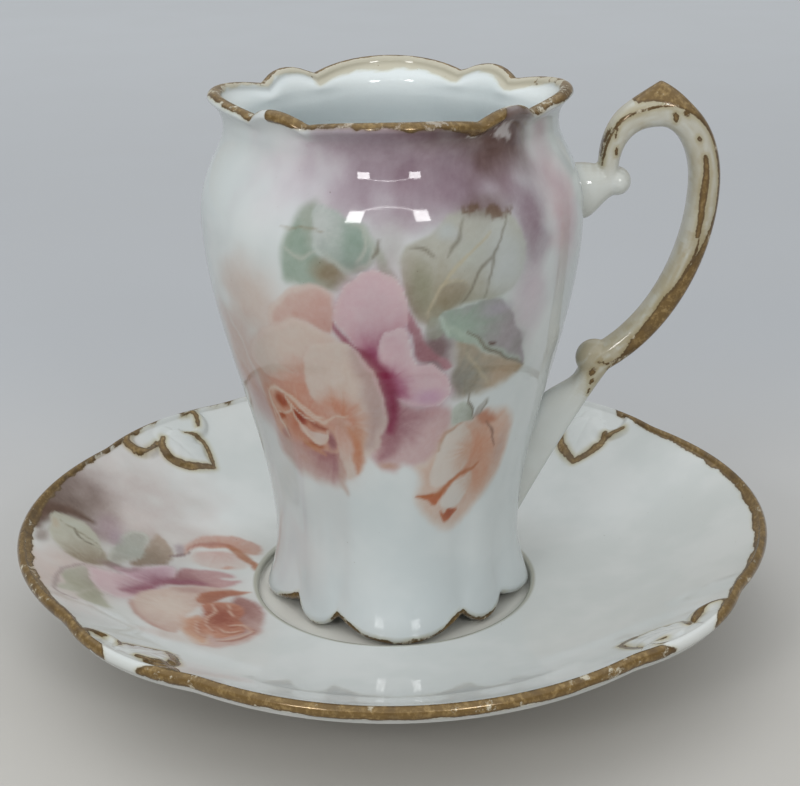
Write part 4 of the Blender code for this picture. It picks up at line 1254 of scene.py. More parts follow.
def handle_gilding(points):
    """How deep each point of the handle lies in its gold, how rubbed that is, and the glaze's tint."""
    length, outward = strap_place(points)
    depth = np.maximum(brushed(HANDLE_STROKES, length, outward), outward - along_list(RIDGE_GOLD, length))
    streaks = 1.0
    for narrow, *layer in STAIN_STREAKS:
        streaks = streaks + mottles(length, outward * narrow, layer)
    stain = np.clip(along_list(HANDLE_STAIN, length) * streaks, 0.0, 1.0)[:, None]
    tint = hazed(1.0 - stain * (1.0 - STAINED), depth, HANDLE_HAZE)
    return depth, along_list(HANDLE_RUBBED, length), tint


handle_gilt, handle_rubbed, handle_tint = handle_gilding(handle_points)
dress(handle_mesh, handle_tint, handle_gilt, handle_rubbed)
print(f"gilt share of the handle: {(handle_gilt > 0.0).mean():.2f}")

# %% [markdown]
# ## The saucer
# The saucer is a shallow dish on a foot ring, with a sunk well that the cup stands in. Its lobes grow
# towards the rim, and the rim is a full round. In each corner the mould has left a raised leaf between
# two scrolls.

# %% The saucer's curve
SAUCER_RADIUS = 60.7
SAUCER_FOLD = 0.7
SAUCER_CREASE = 1.4
WELL_RADIUS = 23.3
WELL_EDGE = 6.8
SAUCER_DEPTH = RIM_HEIGHT - WELL_EDGE
DISH_RUN = SAUCER_RADIUS - WELL_RADIUS
# Pulls of the dish's curve at the well and at the rim, as shares of its run and depth
WELL_PULL = (0.45, 0.03)
RIM_PULL = (0.30, 0.50)
DISH_CURVE = bezier(
    (WELL_RADIUS, WELL_EDGE),
    (WELL_RADIUS + WELL_PULL[0] * DISH_RUN, WELL_EDGE + WELL_PULL[1] * SAUCER_DEPTH),
    (SAUCER_RADIUS - RIM_PULL[0] * DISH_RUN, RIM_HEIGHT - RIM_PULL[1] * SAUCER_DEPTH),
    (SAUCER_RADIUS, RIM_HEIGHT),
)
LOBING_POWER = 3


def dish_height(radius):
    """Height of the dish's upper face at a radius."""
    return np.interp(radius, DISH_CURVE[:, 0], DISH_CURVE[:, 1])


def dish_rings(radius, lift=0.0, spread=0.0, blur=1.5):
    """Rings of the dish, lobed more and more towards the rim."""
    radius = np.asarray(radius, float)
    lobing = np.clip((radius - WELL_RADIUS) / DISH_RUN, 0.0, 1.0) ** LOBING_POWER
    return rings(
        radius + spread, dish_height(radius) + lift, SAUCER_FOLD * lobing, SAUCER_CREASE * lobing, 0.0, blur
    )


print(f"dish: {2.0 * SAUCER_RADIUS:.1f} mm across, {SAUCER_DEPTH:.1f} mm deep")

# %% The saucer's columns
# Half the width of a corner and the spacing of the points, written in degrees
CORNER_HALF = math.radians(14.0)
CORNER_SPACING = math.radians(0.36)
PAINTED_SPACING = math.radians(0.55)
PLAIN_SPACING = math.radians(1.6)
PAINTED_SIDE = 1


def saucer_columns():
    """Angles round the saucer, closest at its four corners and on the painted side."""
    stretches = []
    for index in range(LOBE_COUNT):
        middle = (index + 0.5) * QUARTER
        end = middle + CORNER_HALF
        stretches.append((middle - CORNER_HALF, end, CORNER_SPACING))
        side_spacing = PAINTED_SPACING if index == PAINTED_SIDE else PLAIN_SPACING
        stretches.append((end, middle + QUARTER - CORNER_HALF, side_spacing))
    return graded(*stretches)[:-1]


saucer_angles = saucer_columns()
print(len(saucer_angles), "columns round the saucer")

# %% The saucer's section
SAUCER_WALL = 2.8
SAUCER_RIM = 2.1
WELL_FLOOR = 5.3
WELL_ROUND = 0.7
SAUCER_FOOT_RADIUS = 29.0
SAUCER_FOOT_WIDTH = 3.2
# Rings of the foot: under the base, up to the ring's inner face and away from its outer face
BASE_RADII = (0.3, 12.0)
FOOT_INNER_STEPS = np.array((-1.6, -0.9, -0.3, 0.2, 0.8))
FOOT_OUTER_STEPS = np.array((-0.8, -0.2, 0.2, 0.7, 1.5))
FOOT_LEVELS = np.array((2.7, 2.7, 2.6, 2.2, 1.0, 0.25, 0.0, 0.0, 0.25, 1.0, 2.2, 3.1))
UNDER_ROWS = (SAUCER_FOOT_RADIUS + 4.0, SAUCER_RADIUS - 1.2, 1.3)
ABOVE_ROWS = ((SAUCER_RADIUS - 1.3, 44.0, 0.34), (44.0, WELL_RADIUS + 0.4, 0.5))
WELL_STEPS = np.array((0.0, 0.1, 0.4, 1.0))
WELL_FLOOR_RADII = (14.0, 0.3)
WELL_LEVELS = np.array((5.8, 5.5, 5.36, WELL_FLOOR, WELL_FLOOR, WELL_FLOOR))


def saucer_section():
    """All rings of the saucer, from under its foot round the rim and down into the well."""
    inner_face = SAUCER_FOOT_RADIUS - SAUCER_FOOT_WIDTH + FOOT_INNER_STEPS
    outer_face = SAUCER_FOOT_RADIUS + FOOT_OUTER_STEPS
    foot = rings(np.concatenate((BASE_RADII, inner_face, outer_face)), FOOT_LEVELS)
    under = graded(UNDER_ROWS)
    share = (under - WELL_RADIUS) / DISH_RUN
    under = dish_rings(under, lift=-(SAUCER_WALL + share ** 2 * (SAUCER_RIM - SAUCER_WALL)))
    turn = np.linspace(-math.pi / 2.0, math.pi / 2.0, 12)
    half = SAUCER_RIM / 2.0
    rim = np.concatenate([
        dish_rings([SAUCER_RADIUS], half * (math.sin(t) - 1.0), half * (math.cos(t) - 1.0)) for t in turn
    ])
    turn = np.linspace(0.0, math.pi / 2.0, 5)
    edge = rings(WELL_RADIUS - WELL_ROUND * np.sin(turn), WELL_EDGE - WELL_ROUND * (1.0 - np.cos(turn)))
    well_side = WELL_RADIUS - WELL_ROUND - WELL_STEPS
    well = rings(np.concatenate((well_side, WELL_FLOOR_RADII)), WELL_LEVELS)
    above = dish_rings(graded(*ABOVE_ROWS))
    return stacked(foot=foot, under=under, rim=rim, above=above, edge=edge, well=well)


saucer_stack, saucer_side = saucer_section()
saucer_points = lobed_points(saucer_stack, saucer_angles)
print(f"saucer skin: {len(saucer_stack)} rings of {len(saucer_angles)} points")

# %% [markdown]
# ## Corner ornament
# The leaf and scrolls stand a little under a millimetre proud. They are written as distances from a few
# lines in a corner's own frame, out from the centre and aside from the diagonal. The same distances give
# the raised shape, and the gold that was brushed along the edges of the leaf and the scrolls.

# %% The leaf and the scrolls
# Places in a corner: aside from the diagonal, clockwise, and out from the centre
LEAF_LINE = ((0.0, 56.3), (0.9, 51.4), (1.8, 46.5))
LEAF_HALF_WIDTH = 4.2
LEAF_RELIEF = 0.9
LEAF_TIP = 0.15
LEAF_START = 0.12
LEAF_SWELL_POWER = 0.7
NOTCH_DEPTH = 0.10
NOTCH_PACE = 22.0
MIDRIB_DEPTH = 0.25
MIDRIB_WIDTH = 0.35
VEIN_DEPTH = 0.12
VEIN_PACE = (30.0, 2.2)
SCROLL_CENTRE = (5.8, 56.5)
SCROLL_RADIUS = 2.4
SCROLL_SWEEP = 230.0
SCROLL_RELIEF = 0.8
SCROLL_HALF_WIDTH = 1.125
SCROLL_ENDS = 0.55


def scroll_line(side):
    """A C-shaped scroll beside the leaf."""
    sweep = np.radians(np.linspace(0.0, SCROLL_SWEEP, 24))
    aside = SCROLL_CENTRE[0] + SCROLL_RADIUS * np.sin(sweep)
    return np.stack((side * aside, SCROLL_CENTRE[1] + SCROLL_RADIUS * np.cos(sweep)), axis=1)


def corner_relief(aside, out):
    """Height of the raised leaf and scrolls."""
    away, along = distance_to(curve_through(LEAF_LINE, False), aside, out)
    past_start = LEAF_START + (1.0 - LEAF_START) * along ** LEAF_SWELL_POWER
    swell = LEAF_TIP + (1.0 - LEAF_TIP) * np.sin(math.pi * past_start)
    notch = 1.0 + NOTCH_DEPTH * np.cos(along * NOTCH_PACE)
    share = np.clip(away / (LEAF_HALF_WIDTH * swell * notch), 0.0, 1.0)
    vein = VEIN_DEPTH * np.cos(along * VEIN_PACE[0] - away * VEIN_PACE[1]) * share
    vein = MIDRIB_DEPTH * np.exp(-(away / MIDRIB_WIDTH) ** 2) + vein
    height = LEAF_RELIEF * swell * np.sqrt(1.0 - share ** 2) * (1.0 - vein)
    for side in (-1.0, 1.0):
        away, along = distance_to(scroll_line(side), aside, out)
        swell = SCROLL_ENDS + (1.0 - SCROLL_ENDS) * np.sin(math.pi * along)
        share = np.clip(away / (SCROLL_HALF_WIDTH * swell), 0.0, 1.0)
        height = np.maximum(height, SCROLL_RELIEF * swell * np.sqrt(1.0 - share ** 2))
    return height


# %% Raise and gild the corners
CORNER_REACH = 13.0
CORNER_START = 43.0
GILT_LINES = (
    # a line of places, then the width of the brush
    ([(-4.0, 59.4), (-6.3, 59.1), (-8.6, 57.4), (-8.4, 55.2), (-7.2, 54.5), (-4.3, 55.0), (-2.8, 55.6)],
     1.3),
    ([(5.8, 58.6), (7.6, 58.0), (8.0, 56.8), (6.8, 55.0)], 0.9),
    ([(-1.2, 55.8), (-2.8, 54.2), (-3.1, 51.8), (-1.6, 49.4), (1.0, 47.9), (3.0, 47.0)], 1.4),
    ([(3.6, 55.0), (4.8, 54.0), (5.5, 52.4), (4.8, 50.2), (3.6, 47.8), (3.0, 47.0)], 0.8),
)
WORN_GILT_LINES = (
    ([(-2.9, 51.2), (-1.6, 49.4), (0.8, 48.0), (3.0, 47.0)], 1.3),
    ([(3.0, 47.0), (4.6, 49.8), (5.5, 52.2), (5.0, 53.8)], 1.4),
    ([(5.0, 52.8), (6.4, 53.8), (8.2, 55.4)], 0.9),
)
WORN_CORNER = 0


def corner_frame(points, corner):
    """Each point's distance aside from a corner's diagonal, clockwise, and out along it."""
    diagonal = (corner + 0.5) * QUARTER
    out = points[..., 0] * math.cos(diagonal) + points[..., 1] * math.sin(diagonal)
    aside = points[..., 0] * math.sin(diagonal) - points[..., 1] * math.cos(diagonal)
    return aside, out


def ornament(points, top):
    """Raise the ornament on the saucer's upper face; gives the gilt depth of its brush lines."""
    gilt = np.full(points.shape[:2], NO_GOLD)
    for corner in range(LOBE_COUNT):
        aside, out = corner_frame(points, corner)
        rows, columns = np.nonzero((np.abs(aside) < CORNER_REACH) & (out > CORNER_START) & top[:, None])
        aside = aside[rows, columns]
        out = out[rows, columns]
        points[rows, columns, 2] += corner_relief(aside, out)
        lines = WORN_GILT_LINES if corner == WORN_CORNER else GILT_LINES
        gilt[rows, columns] = brushed(lines, aside, out)
    return gilt


ornament_gilt = ornament(saucer_points, saucer_side == "above")
print(f"ornament: {(ornament_gilt > 0.0).sum()} gilt points")

# %% [markdown]
# ## The saucer's spray
# The saucer repeats the subject in a smaller spray of its own, lying on its side along the left rim. It is
# drawn in millimetres to the right and back from the saucer's centre, with the same brush.

# %% Ground on the saucer


def paint_saucer_ground(e):
    """The ground along the left rim: brown at the rim, pale towards the well."""
    e.wash((-46, 16), (20, 24), (0.85, 0.75, 0.73), 0.95)
    e.wash((-52, -14), (11, 17), (0.93, 0.79, 0.76), 0.85)
    e.wash((-57, 13.5), (14, 16), (0.48, 0.37, 0.34), 0.95, 0.4)
    e.wash((-58.5, 11.5), (9.5, 13), (0.32, 0.23, 0.20), 0.95, 0.4)
    e.wash((-48, 7.5), (4.5, 6), (0.64, 0.50, 0.54), 0.8)
    e.stroke([(-58.4, -0.5), (-58.4, 3.6), (-57.2, 7), (-54.4, 8.2), (-51, 7.8)], 2.4, BROWN, 0.9, 1.4)
    e.wash((-57, -3.4), (1.6, 3.4), BROWN, 0.5)


# %% Leaves on the saucer


def paint_saucer_leaves(e):
    """Leaves of the saucer's spray."""
    e.petal([(-56.7, 6.1), (-55.1, 6.5), (-52.6, 6.5), (-50.4, 5.4), (-49.2, 3.9), (-48.6, 2),
             (-47.6, -1.1), (-46.7, -3), (-47.3, -4.6), (-49.5, -5.8), (-52.6, -5.8), (-54.5, -3.6),
             (-56.1, -1.1), (-56.7, 1.4), (-57, 3.9)],
            (0.80, 0.77, 0.68), (0.50, 0.42, 0.32), (-49, -5), cover=0.95, soft=0.42, shade=0.2,
            depth=1.5)
    e.wash((-53.5, 4.6), (2.4, 1.4), (0.84, 0.83, 0.76), 0.6)
    e.wash((-56, 2.5), (1, 2.4), (0.80, 0.64, 0.50), 0.5)
    e.stroke([(-55.1, 4), (-51.6, 3), (-48.6, 1.8)], 0.4, (0.52, 0.46, 0.36), 0.7, 0.35)
    e.stroke([(-53, 3.6), (-51.6, 1.6), (-48.6, 0.6)], 0.4, STEM, 0.8, 0.3)
    e.wash((-46, -3.6), (3.2, 1.9), (0.48, 0.36, 0.35), 0.8)
    e.petal([(-40.4, 10.8), (-41.4, 8.9), (-41.7, 6.4), (-42.3, 2), (-43.6, -1.1), (-42, -1.1),
             (-40.4, 0.8), (-38.3, 2), (-37.6, 4.5), (-37.9, 7), (-38.9, 9.2)],
            (0.66, 0.52, 0.43), (0.48, 0.38, 0.30), (-41.5, 1), soft=0.51, shade=0.1)
    e.petal([(-42.6, 9.8), (-44.8, 9.2), (-45.9, 7), (-46.1, 4.5), (-46.7, 1.4), (-47.3, -1.8),
             (-46.7, -2.7), (-45.6, -2.7), (-43.9, -0.5), (-42, 2), (-41.7, 5.1), (-41.9, 8.3)],
            (0.60, 0.58, 0.53), (0.66, 0.66, 0.61), (-44, 4), rim=SAGE_PALE, cover=0.95, soft=0.42,
            shade=0.2)
    e.wash((-46.6, 6), (1.6, 4), (0.66, 0.54, 0.60), 0.6)
    e.petal([(-50.4, -7.4), (-51.7, -9.9), (-52.3, -13), (-51.7, -16.1), (-52, -19.3), (-49.8, -18.9),
             (-47.9, -16.1), (-47.3, -13), (-48.6, -10.5), (-49.2, -8)],
            (0.74, 0.73, 0.64), (0.62, 0.61, 0.50), (-49.5, -14), cover=0.9, soft=0.51, shade=0.1)
    e.petal([(-47.6, -13.6), (-47.9, -16.1), (-49.5, -19.3), (-48.3, -20.5), (-45.1, -20.5), (-43.9, -19.6),
             (-45.4, -16.8), (-46.1, -14.9)],
            (0.70, 0.69, 0.59), (0.56, 0.55, 0.43), (-47.4, -17), cover=0.9, soft=0.51, shade=0.1)
    e.stroke([(-49.8, -6.2), (-52, -9.5), (-52.7, -14), (-52.4, -19), (-51.2, -21.4), (-49, -21.6)],
             0.55, (0.56, 0.45, 0.46), 0.7, 0.5)


# %% [markdown]
# ## Flowers on the saucer
# Seen from the front these flowers lie nearly flat, so they need fewer petals than those on the cup. The
# pale edges in the heart of the rose each get a dark line beside them, which makes them curl.

# %% The bud on the saucer


def paint_saucer_bud(e):
    """The open bud of the saucer's spray."""
    e.wash((-36.4, 7.6), (1.6, 2.6), (0.60, 0.50, 0.54), 0.8)
    e.stroke([(-38, 4.8), (-36, 6), (-34.6, 7.4)], 0.7, SHADE, 0.8, 0.6)
    e.petal([(-33.9, 7), (-32, 8.4), (-28.9, 9), (-26, 8), (-25, 4.5), (-26.4, 2.8), (-30.8, 3),
             (-33.8, 4.5)],
            (0.94, 0.82, 0.79), (0.84, 0.60, 0.56), (-30, 9.5), cover=0.85, soft=0.68, shade=0.0)
    e.wash((-28, 3.4), (1.6, 1), PEACH_DEEP, 0.6)
    e.petal([(-35.4, 6.6), (-35.2, 10.1), (-33.6, 12.9), (-30.8, 14.4), (-27.6, 14.5), (-24.5, 13.1),
             (-22.8, 10.4), (-23.1, 8.4), (-24.5, 8.6), (-26.4, 9.4), (-28.9, 10), (-32, 9.7),
             (-34.2, 8.4)],
            (0.82, 0.57, 0.50), (0.72, 0.33, 0.21), (-29, 8.6), cover=0.93, soft=0.51, shade=0.1,
            depth=1.15)
    e.stroke([(-35, 8), (-33, 10.4), (-30, 11.4), (-27.4, 11)], 0.9, (0.62, 0.30, 0.24), 0.7, 0.8)
    e.stroke([(-28.3, 11.2), (-26.2, 8.8), (-24.4, 5.8), (-22.9, 2.6)], 1.8, (0.64, 0.30, 0.17), 0.85, 0.8)


# %% The roses on the saucer


def paint_saucer_roses(e):
    """The pink rose and the peach rose of the saucer's spray."""
    e.petal([(-36.1, -1.1), (-35.1, 1.4), (-32.6, 2), (-29.5, 2), (-27.3, 1.1), (-27, 0.1), (-28.9, -0.5),
             (-25.8, -1.1), (-26.4, -2.7), (-28.3, -3.9), (-32, -3.9), (-35.8, -4.6), (-37.9, -5.5)],
            (0.78, 0.52, 0.53), (0.52, 0.24, 0.27), (-35, -3.4), cover=0.93, soft=0.59, shade=0.1,
            depth=1.3)
    e.petal([(-49.2, -8), (-48.6, -10.5), (-47, -13), (-44.5, -14.3), (-42.6, -13.6), (-41.4, -11.8),
             (-40.1, -9.3), (-39.5, -6.8), (-40.8, -5.5), (-43.3, -5.5), (-46.4, -6.1), (-48.6, -6.8)],
            (0.90, 0.70, 0.74), (0.60, 0.33, 0.42), (-40.4, -9), rim=(0.93, 0.77, 0.80), soft=0.42,
            depth=1.7)
    e.petal([(-45.9, -4.3), (-43.9, -3), (-41.4, -1.1), (-39.5, 0.8), (-37.9, 1.4), (-36.4, 0.8),
             (-36.1, -1.1), (-37, -3), (-38.9, -5.5), (-40.8, -6.1), (-43.3, -5.8)],
            (0.82, 0.58, 0.66), (0.55, 0.27, 0.36), (-38.6, -4.6), rim=(0.90, 0.72, 0.77), soft=0.42,
            depth=1.5)
    e.stroke([(-45.6, -4.4), (-43.4, -3.4), (-41.6, -1.8)], 1.2, (0.56, 0.38, 0.42), 0.7, 1.0)
    e.stroke([(-43.4, -11.2), (-41.4, -9.2), (-38.8, -5.6), (-35.8, -3.2), (-31.6, -2.8)],
             1.5, (0.50, 0.20, 0.29), 0.85, 1.6)
    e.petal([(-41.7, -13.6), (-41.1, -10.5), (-38.9, -7.4), (-35.8, -5.2), (-32, -3.9), (-28.3, -3.9),
             (-25.2, -4.9), (-25.8, -6.1), (-28.9, -6.8), (-31, -10), (-33, -15), (-33.6, -21),
             (-34.5, -23), (-37, -22.4), (-39.5, -19.9), (-41.1, -17.4), (-41.9, -14.9)],
            (0.84, 0.64, 0.58), (0.95, 0.81, 0.74), (-35.5, -13), cover=0.95, soft=0.51, shade=0.2,
            depth=1.2)
    e.stroke([(-41.8, -14), (-40.8, -17.6), (-38.6, -20.6), (-35.6, -22.6)], 1.0, (0.72, 0.46, 0.42), 0.6,
             1.0)
    e.wash((-36, -24.6), (6, 2.8), (0.92, 0.80, 0.76), 0.7)
    e.wash((-33.4, -5.6), (4.5, 1.6), (0.70, 0.46, 0.44), 0.6)
    e.petal([(-32, -8.6), (-31.4, -6), (-28.3, -5), (-24, -4.8), (-25.8, -6.1), (-28, -7.6), (-30, -10)],
            (0.72, 0.36, 0.25), (0.60, 0.24, 0.15), (-29, -7), cover=0.9, soft=0.42, shade=0.0)
    e.petal([(-25.8, -6.4), (-22.9, -8), (-21.1, -11.8), (-20.9, -16.1), (-22, -20.5), (-24.5, -23.6),
             (-28.3, -25.8), (-30.1, -25.5), (-28.9, -22), (-25.6, -19), (-25, -14.3), (-26.5, -9.5)],
            (0.86, 0.66, 0.62), (0.56, 0.29, 0.27), (-25.2, -9.6), cover=0.9, soft=0.68, shade=0.1,
            depth=1.35)
    e.petal([(-33.9, -16.8), (-32.6, -15.5), (-30.8, -14.6), (-29.4, -19.9), (-28.9, -22.4), (-28.7, -24.9),
             (-30.1, -25.5), (-32, -23.6), (-33.3, -20.5)],
            (0.92, 0.62, 0.47), (0.78, 0.42, 0.28), (-29.6, -18), rim=PEACH_PALE, soft=0.42, shade=0.1)
    e.petal([(-31.1, -10.5), (-29.5, -9.3), (-27, -8.6), (-25, -9.9), (-24.2, -12.4), (-24.8, -14.3),
             (-24, -16.1), (-24.4, -19.3), (-26, -21.1), (-28.3, -21.8), (-29.8, -19.9), (-30.8, -17.4),
             (-30.4, -14.3)],
            (0.80, 0.44, 0.32), (0.50, 0.13, 0.07), (-28, -14), cover=0.95, soft=0.42, shade=0.2, depth=1.1)
    for line in (
        [(-29.5, -9.9), (-29.2, -13), (-30.1, -16.1), (-28.9, -19.3)],
        [(-27, -9.3), (-26.4, -12.4), (-25.1, -14.3)],
        [(-26.4, -16.9), (-24.6, -16.1), (-23, -17.4), (-22.8, -19)],
        [(-28.6, -17.6), (-26.6, -19.3), (-24.6, -18.2)],
        [(-31.6, -16.6), (-31, -19.6), (-29.8, -22.4)],
        [(-27.6, -22.6), (-25, -21.4), (-23.2, -19)],
    ):
        e.stroke([(u + 0.3, v - 0.5) for u, v in line], 0.7, (0.56, 0.22, 0.14), 0.6, 0.6)
        e.stroke(line, 0.5, (0.92, 0.68, 0.58), 0.75, 0.4)


# %% The saucer's whole spray
SAUCER_FIRING = 1.35
SAUCER_PAINTERS = (paint_saucer_ground, paint_saucer_leaves, paint_saucer_bud, paint_saucer_roses)
print("painted from back to front:", ", ".join(paint.__name__ for paint in SAUCER_PAINTERS))

# %% [markdown]
# ## Paint and gilding on the saucer
# The spray is painted on the dish alone. The rim's gold runs over the round edge and is worn off at the
# corners. The step down into the well is painted darker, as painted shade in that crevice, and the well
# itself is painted lighter and warmer than the white, as painted light with a warm reflection of the gold.
# The saucer is turned a little on the table, as in the picture.

# %% Gild the rim
SAUCER_TURN = math.radians(2.5)
RIM_GOLD = (
    # angle in degrees, width of the band in from the edge
    (-180, 2.2), (-170, 2.3), (-155, 2.3), (-145, 2.2), (-138, 1.9), (-136, 1.6), (-132.6, -0.35),
    (-128.5, -0.35), (-125, 1.0), (-121, 1.8), (-110, 1.9), (-60, 1.8), (-54, 1.6), (-51.5, 0.9),
    (-49, -0.35), (-42, -0.35), (-39, 0.8), (-36, 1.6), (-10, 2.1), (5, 2.0), (20, 1.8), (35, 1.5),
    (43, 1.3), (45.5, -0.35), (57, -0.35), (60, 1.0), (118, 1.0), (129, 1.0), (132, 0.9), (133.5, 0.1),
    (135, 0.1), (137, 1.1), (143, 1.2), (150, 1.2), (158, 1.3), (168, 1.8), (180, 2.2),
)
BARE_EDGE = 1.6
RIM_UNEVEN = (0.2, 3.0, 31)
RIM_RAGGED = (0.3, 1.3, 32)
FULL_BAND = 1.8
LEAST_RAGGED = 0.3


def rim_gilding():
    """How deep each point of the saucer lies in the gold of the rim."""
    reach = lobed_points(dish_rings([SAUCER_RADIUS]), saucer_angles)[0]
    across = saucer_points[..., 0]
    back = saucer_points[..., 1]
    in_from_edge = np.hypot(reach[:, 0], reach[:, 1]) - np.hypot(across, back)
    degrees = (np.degrees(saucer_angles + SAUCER_TURN) + 180.0) % 360.0 - 180.0
    band = along_list(RIM_GOLD, degrees)
    ragged = mottles(degrees, 0.0 * degrees, RIM_UNEVEN)
    ragged = ragged + mottles(across, back, RIM_RAGGED)
    depth = band + ragged * np.clip(band / FULL_BAND, LEAST_RAGGED, 1.0) - in_from_edge
    side = saucer_side[:, None]
    above_bare = saucer_points[..., 2] - (RIM_HEIGHT - BARE_EDGE) + ragged
    above_bare = np.where(side == "rim", above_bare, -NO_GOLD)
    return np.where(side == "under", NO_GOLD, np.minimum(depth, above_bare))


saucer_gilt = np.maximum(rim_gilding(), ornament_gilt)
print(f"gilt share of the saucer: {(saucer_gilt > 0.0).mean():.2f}")

# %% Turn and paint the saucer
SAUCER_WEAR = 0.34
WEAR_PATCHES = (0.10, 7.0, 33)
LESS_WORN_BACK = 0.2
BACK_DISTANCE = 30.0
RIM_HAZE = 0.3
ORNAMENT_HAZE = 1.1
# Painted shade on the step down into the well, and painted light with a warm reflection of the gold on the
# well
WELL_EDGE_PAINTED_SHADE = (0.66, 0.64, 0.56)
WELL_PAINTED_LIGHT = (1.12, 1.07, 1.01)


def turned(points, angle):
    """Points turned about the upright axis."""
    x = points[..., 0] * math.cos(angle) - points[..., 1] * math.sin(angle)
    y = points[..., 0] * math.sin(angle) + points[..., 1] * math.cos(angle)
    return np.stack((x, y, points[..., 2]), axis=-1)


saucer_points = turned(saucer_points, SAUCER_TURN)
saucer_mesh = skin("saucer_glazed", saucer_points)
above = saucer_side == "above"
saucer_across = saucer_points[..., 0]
saucer_back = saucer_points[..., 1]
saucer_rubbed = mottles(saucer_across, saucer_back, WEAR_PATCHES, start=SAUCER_WEAR)
saucer_rubbed = saucer_rubbed - LESS_WORN_BACK * smooth(0.0, BACK_DISTANCE, saucer_back)
saucer_tint = np.ones(saucer_points.shape)
saucer_tint[above] = spray(SAUCER_PAINTERS, SAUCER_FIRING, saucer_across[above], saucer_back[above])
# Painted shade on the well's edge, painted light on the well's side and floor
saucer_tint[saucer_side == "edge"] = WELL_EDGE_PAINTED_SHADE
saucer_tint[saucer_side == "well"] = WELL_PAINTED_LIGHT
saucer_tint = hazed(hazed(saucer_tint, saucer_gilt, RIM_HAZE), ornament_gilt, ORNAMENT_HAZE)
dress(saucer_mesh, saucer_tint, saucer_gilt, saucer_rubbed)
print(f"painted share of the saucer: {(saucer_tint.min(axis=2) < PLAIN_WHITE).mean():.2f}")

# %% [markdown]
# ## Glazed porcelain and worn gold in one material
# Gold on china is a film fired onto the glaze, so one material can hold both: where the film is whole the
# surface is a rough brown metal, where it is rubbed away the white glaze shows, stained a little. That
# brown is partly worn, thin gold and partly a painted dark reflection of the room. The enamel colour
# multiplies the white, and a slow ripple in the glaze breaks up the reflections. Nodes are long to write
# out, so this cell shortens the ones that are used often.

# %% Node helpers


class Nodes:
    """Adds shader nodes to one material, or to the world, in a line or two each."""

    def __init__(self, owner, shader="Principled BSDF"):
        owner.use_nodes = True
        self.tree = owner.node_tree
        self.shader = self.tree.nodes[shader]

    def add(self, kind, settings=None, **inputs):
        """A node of one kind; its inputs are numbers, colours or other nodes' outputs."""
        node = self.tree.nodes.new(kind)
        for name, value in (settings or {}).items():
            setattr(node, name, value)
        for name, value in inputs.items():
            numbered = name[1:].isdigit()
            self.set(node.inputs[int(name[1:]) if numbered else name.replace("_", " ")], value)
        return node

    def set(self, socket, value):
        """Give a socket a value or a link."""
        if isinstance(value, bpy.types.NodeSocket):
            self.tree.links.new(value, socket)
        else:
            socket.default_value = value

    def number(self, name):
        """A number kept on the mesh."""
        return self.add("ShaderNodeAttribute", dict(attribute_name=name)).outputs["Fac"]

    def colour(self, name):
        """A colour kept on the mesh."""
        return self.add("ShaderNodeAttribute", dict(attribute_name=name)).outputs["Color"]

    def give(self, **inputs):
        """Values or links for the shader's own inputs."""
        for name, value in inputs.items():
            self.set(self.shader.inputs[name.replace("_", " ")], value)

    def noise(self, spot, size, detail=3.0, roughness=0.55):
        """Noise with patches about one size in millimetres, from 0 to 1."""
        scale = 1.0 / (size * MM)
        node = self.add("ShaderNodeTexNoise", Vector=spot, Scale=scale, Detail=detail, Roughness=roughness)
        return node.outputs["Fac"]

    def sum(self, a, b, factor=1.0):
        """a plus b times a factor."""
        return self.add("ShaderNodeMath", dict(operation="MULTIPLY_ADD"), i0=b, i1=factor, i2=a).outputs[0]

    def times(self, a, b):
        """a times b."""
        return self.add("ShaderNodeMath", dict(operation="MULTIPLY"), i0=a, i1=b).outputs[0]

    def ease(self, value, low, high, start=0.0, end=1.0, kind="SMOOTHSTEP"):
        """A step from start to end, smooth unless it is said to be linear."""
        node = self.add(
            "ShaderNodeMapRange", dict(interpolation_type=kind),
            Value=value, From_Min=low, From_Max=high, To_Min=start, To_Max=end,
        )
        return node.outputs["Result"]

    def blend(self, share, a, b, kind="MIX"):
        """Mix two colours."""
        node = self.add("ShaderNodeMix", dict(data_type="RGBA", blend_type=kind), i0=share, i6=a, i7=b)
        return node.outputs[2]


# %% [markdown]
# ## The glaze and the gold
# The same recipe serves cup, handle and saucer, with a white of its own for each. The kiln leaves soft
# clouds and a few dark specks in the white. The gold is a film with frayed edges, brighter and darker in
# patches, and where it is rubbed through the stained glaze shows. Whole gold is rougher than glaze, and
# stands a trace above it.

# %% Colours of glaze and gold
CUP_WHITE = (0.55, 0.59, 0.60, 1.0)
CUP_GREY = (0.50, 0.547, 0.56, 1.0)
SAUCER_WHITE = (0.56, 0.578, 0.572, 1.0)
SAUCER_GREY = (0.51, 0.535, 0.528, 1.0)
HANDLE_WHITE = (0.50, 0.52, 0.50, 1.0)
HANDLE_GREY = (0.54, 0.57, 0.56, 1.0)
SPECK = (0.20, 0.17, 0.14, 1.0)
# Whole gold is painted dark brown: partly worn, thin gold and partly a painted dark reflection of the room
WHOLE_GOLD_AND_DARK_REFLECTION = (0.15, 0.092, 0.030, 1.0)
GOLD_BRIGHT = (0.30, 0.205, 0.085, 1.0)
GOLD_DARK = (0.075, 0.045, 0.02, 1.0)
STAIN = (0.47, 0.43, 0.35, 1.0)
STAIN_SHARE = 0.55

# %% Noise and steps
# Noise: size of the patches in millimetres, then detail and roughness
CLOUD_NOISE = (14.0,)
SPECK_NOISE = (0.55, 1.0)
PRINT_NOISE = (0.35, 2.0)
FRAY_NOISE = (0.9, 4.0, 0.65)
RUB_NOISE = (2.2, 5.0, 0.68)
BRIGHT_NOISE = (0.8, 4.0, 0.65)
DARK_NOISE = (3.2, 3.0)
SMEAR_NOISE = (5.0, 3.0)
RIPPLE_NOISE = (9.0, 1.0)
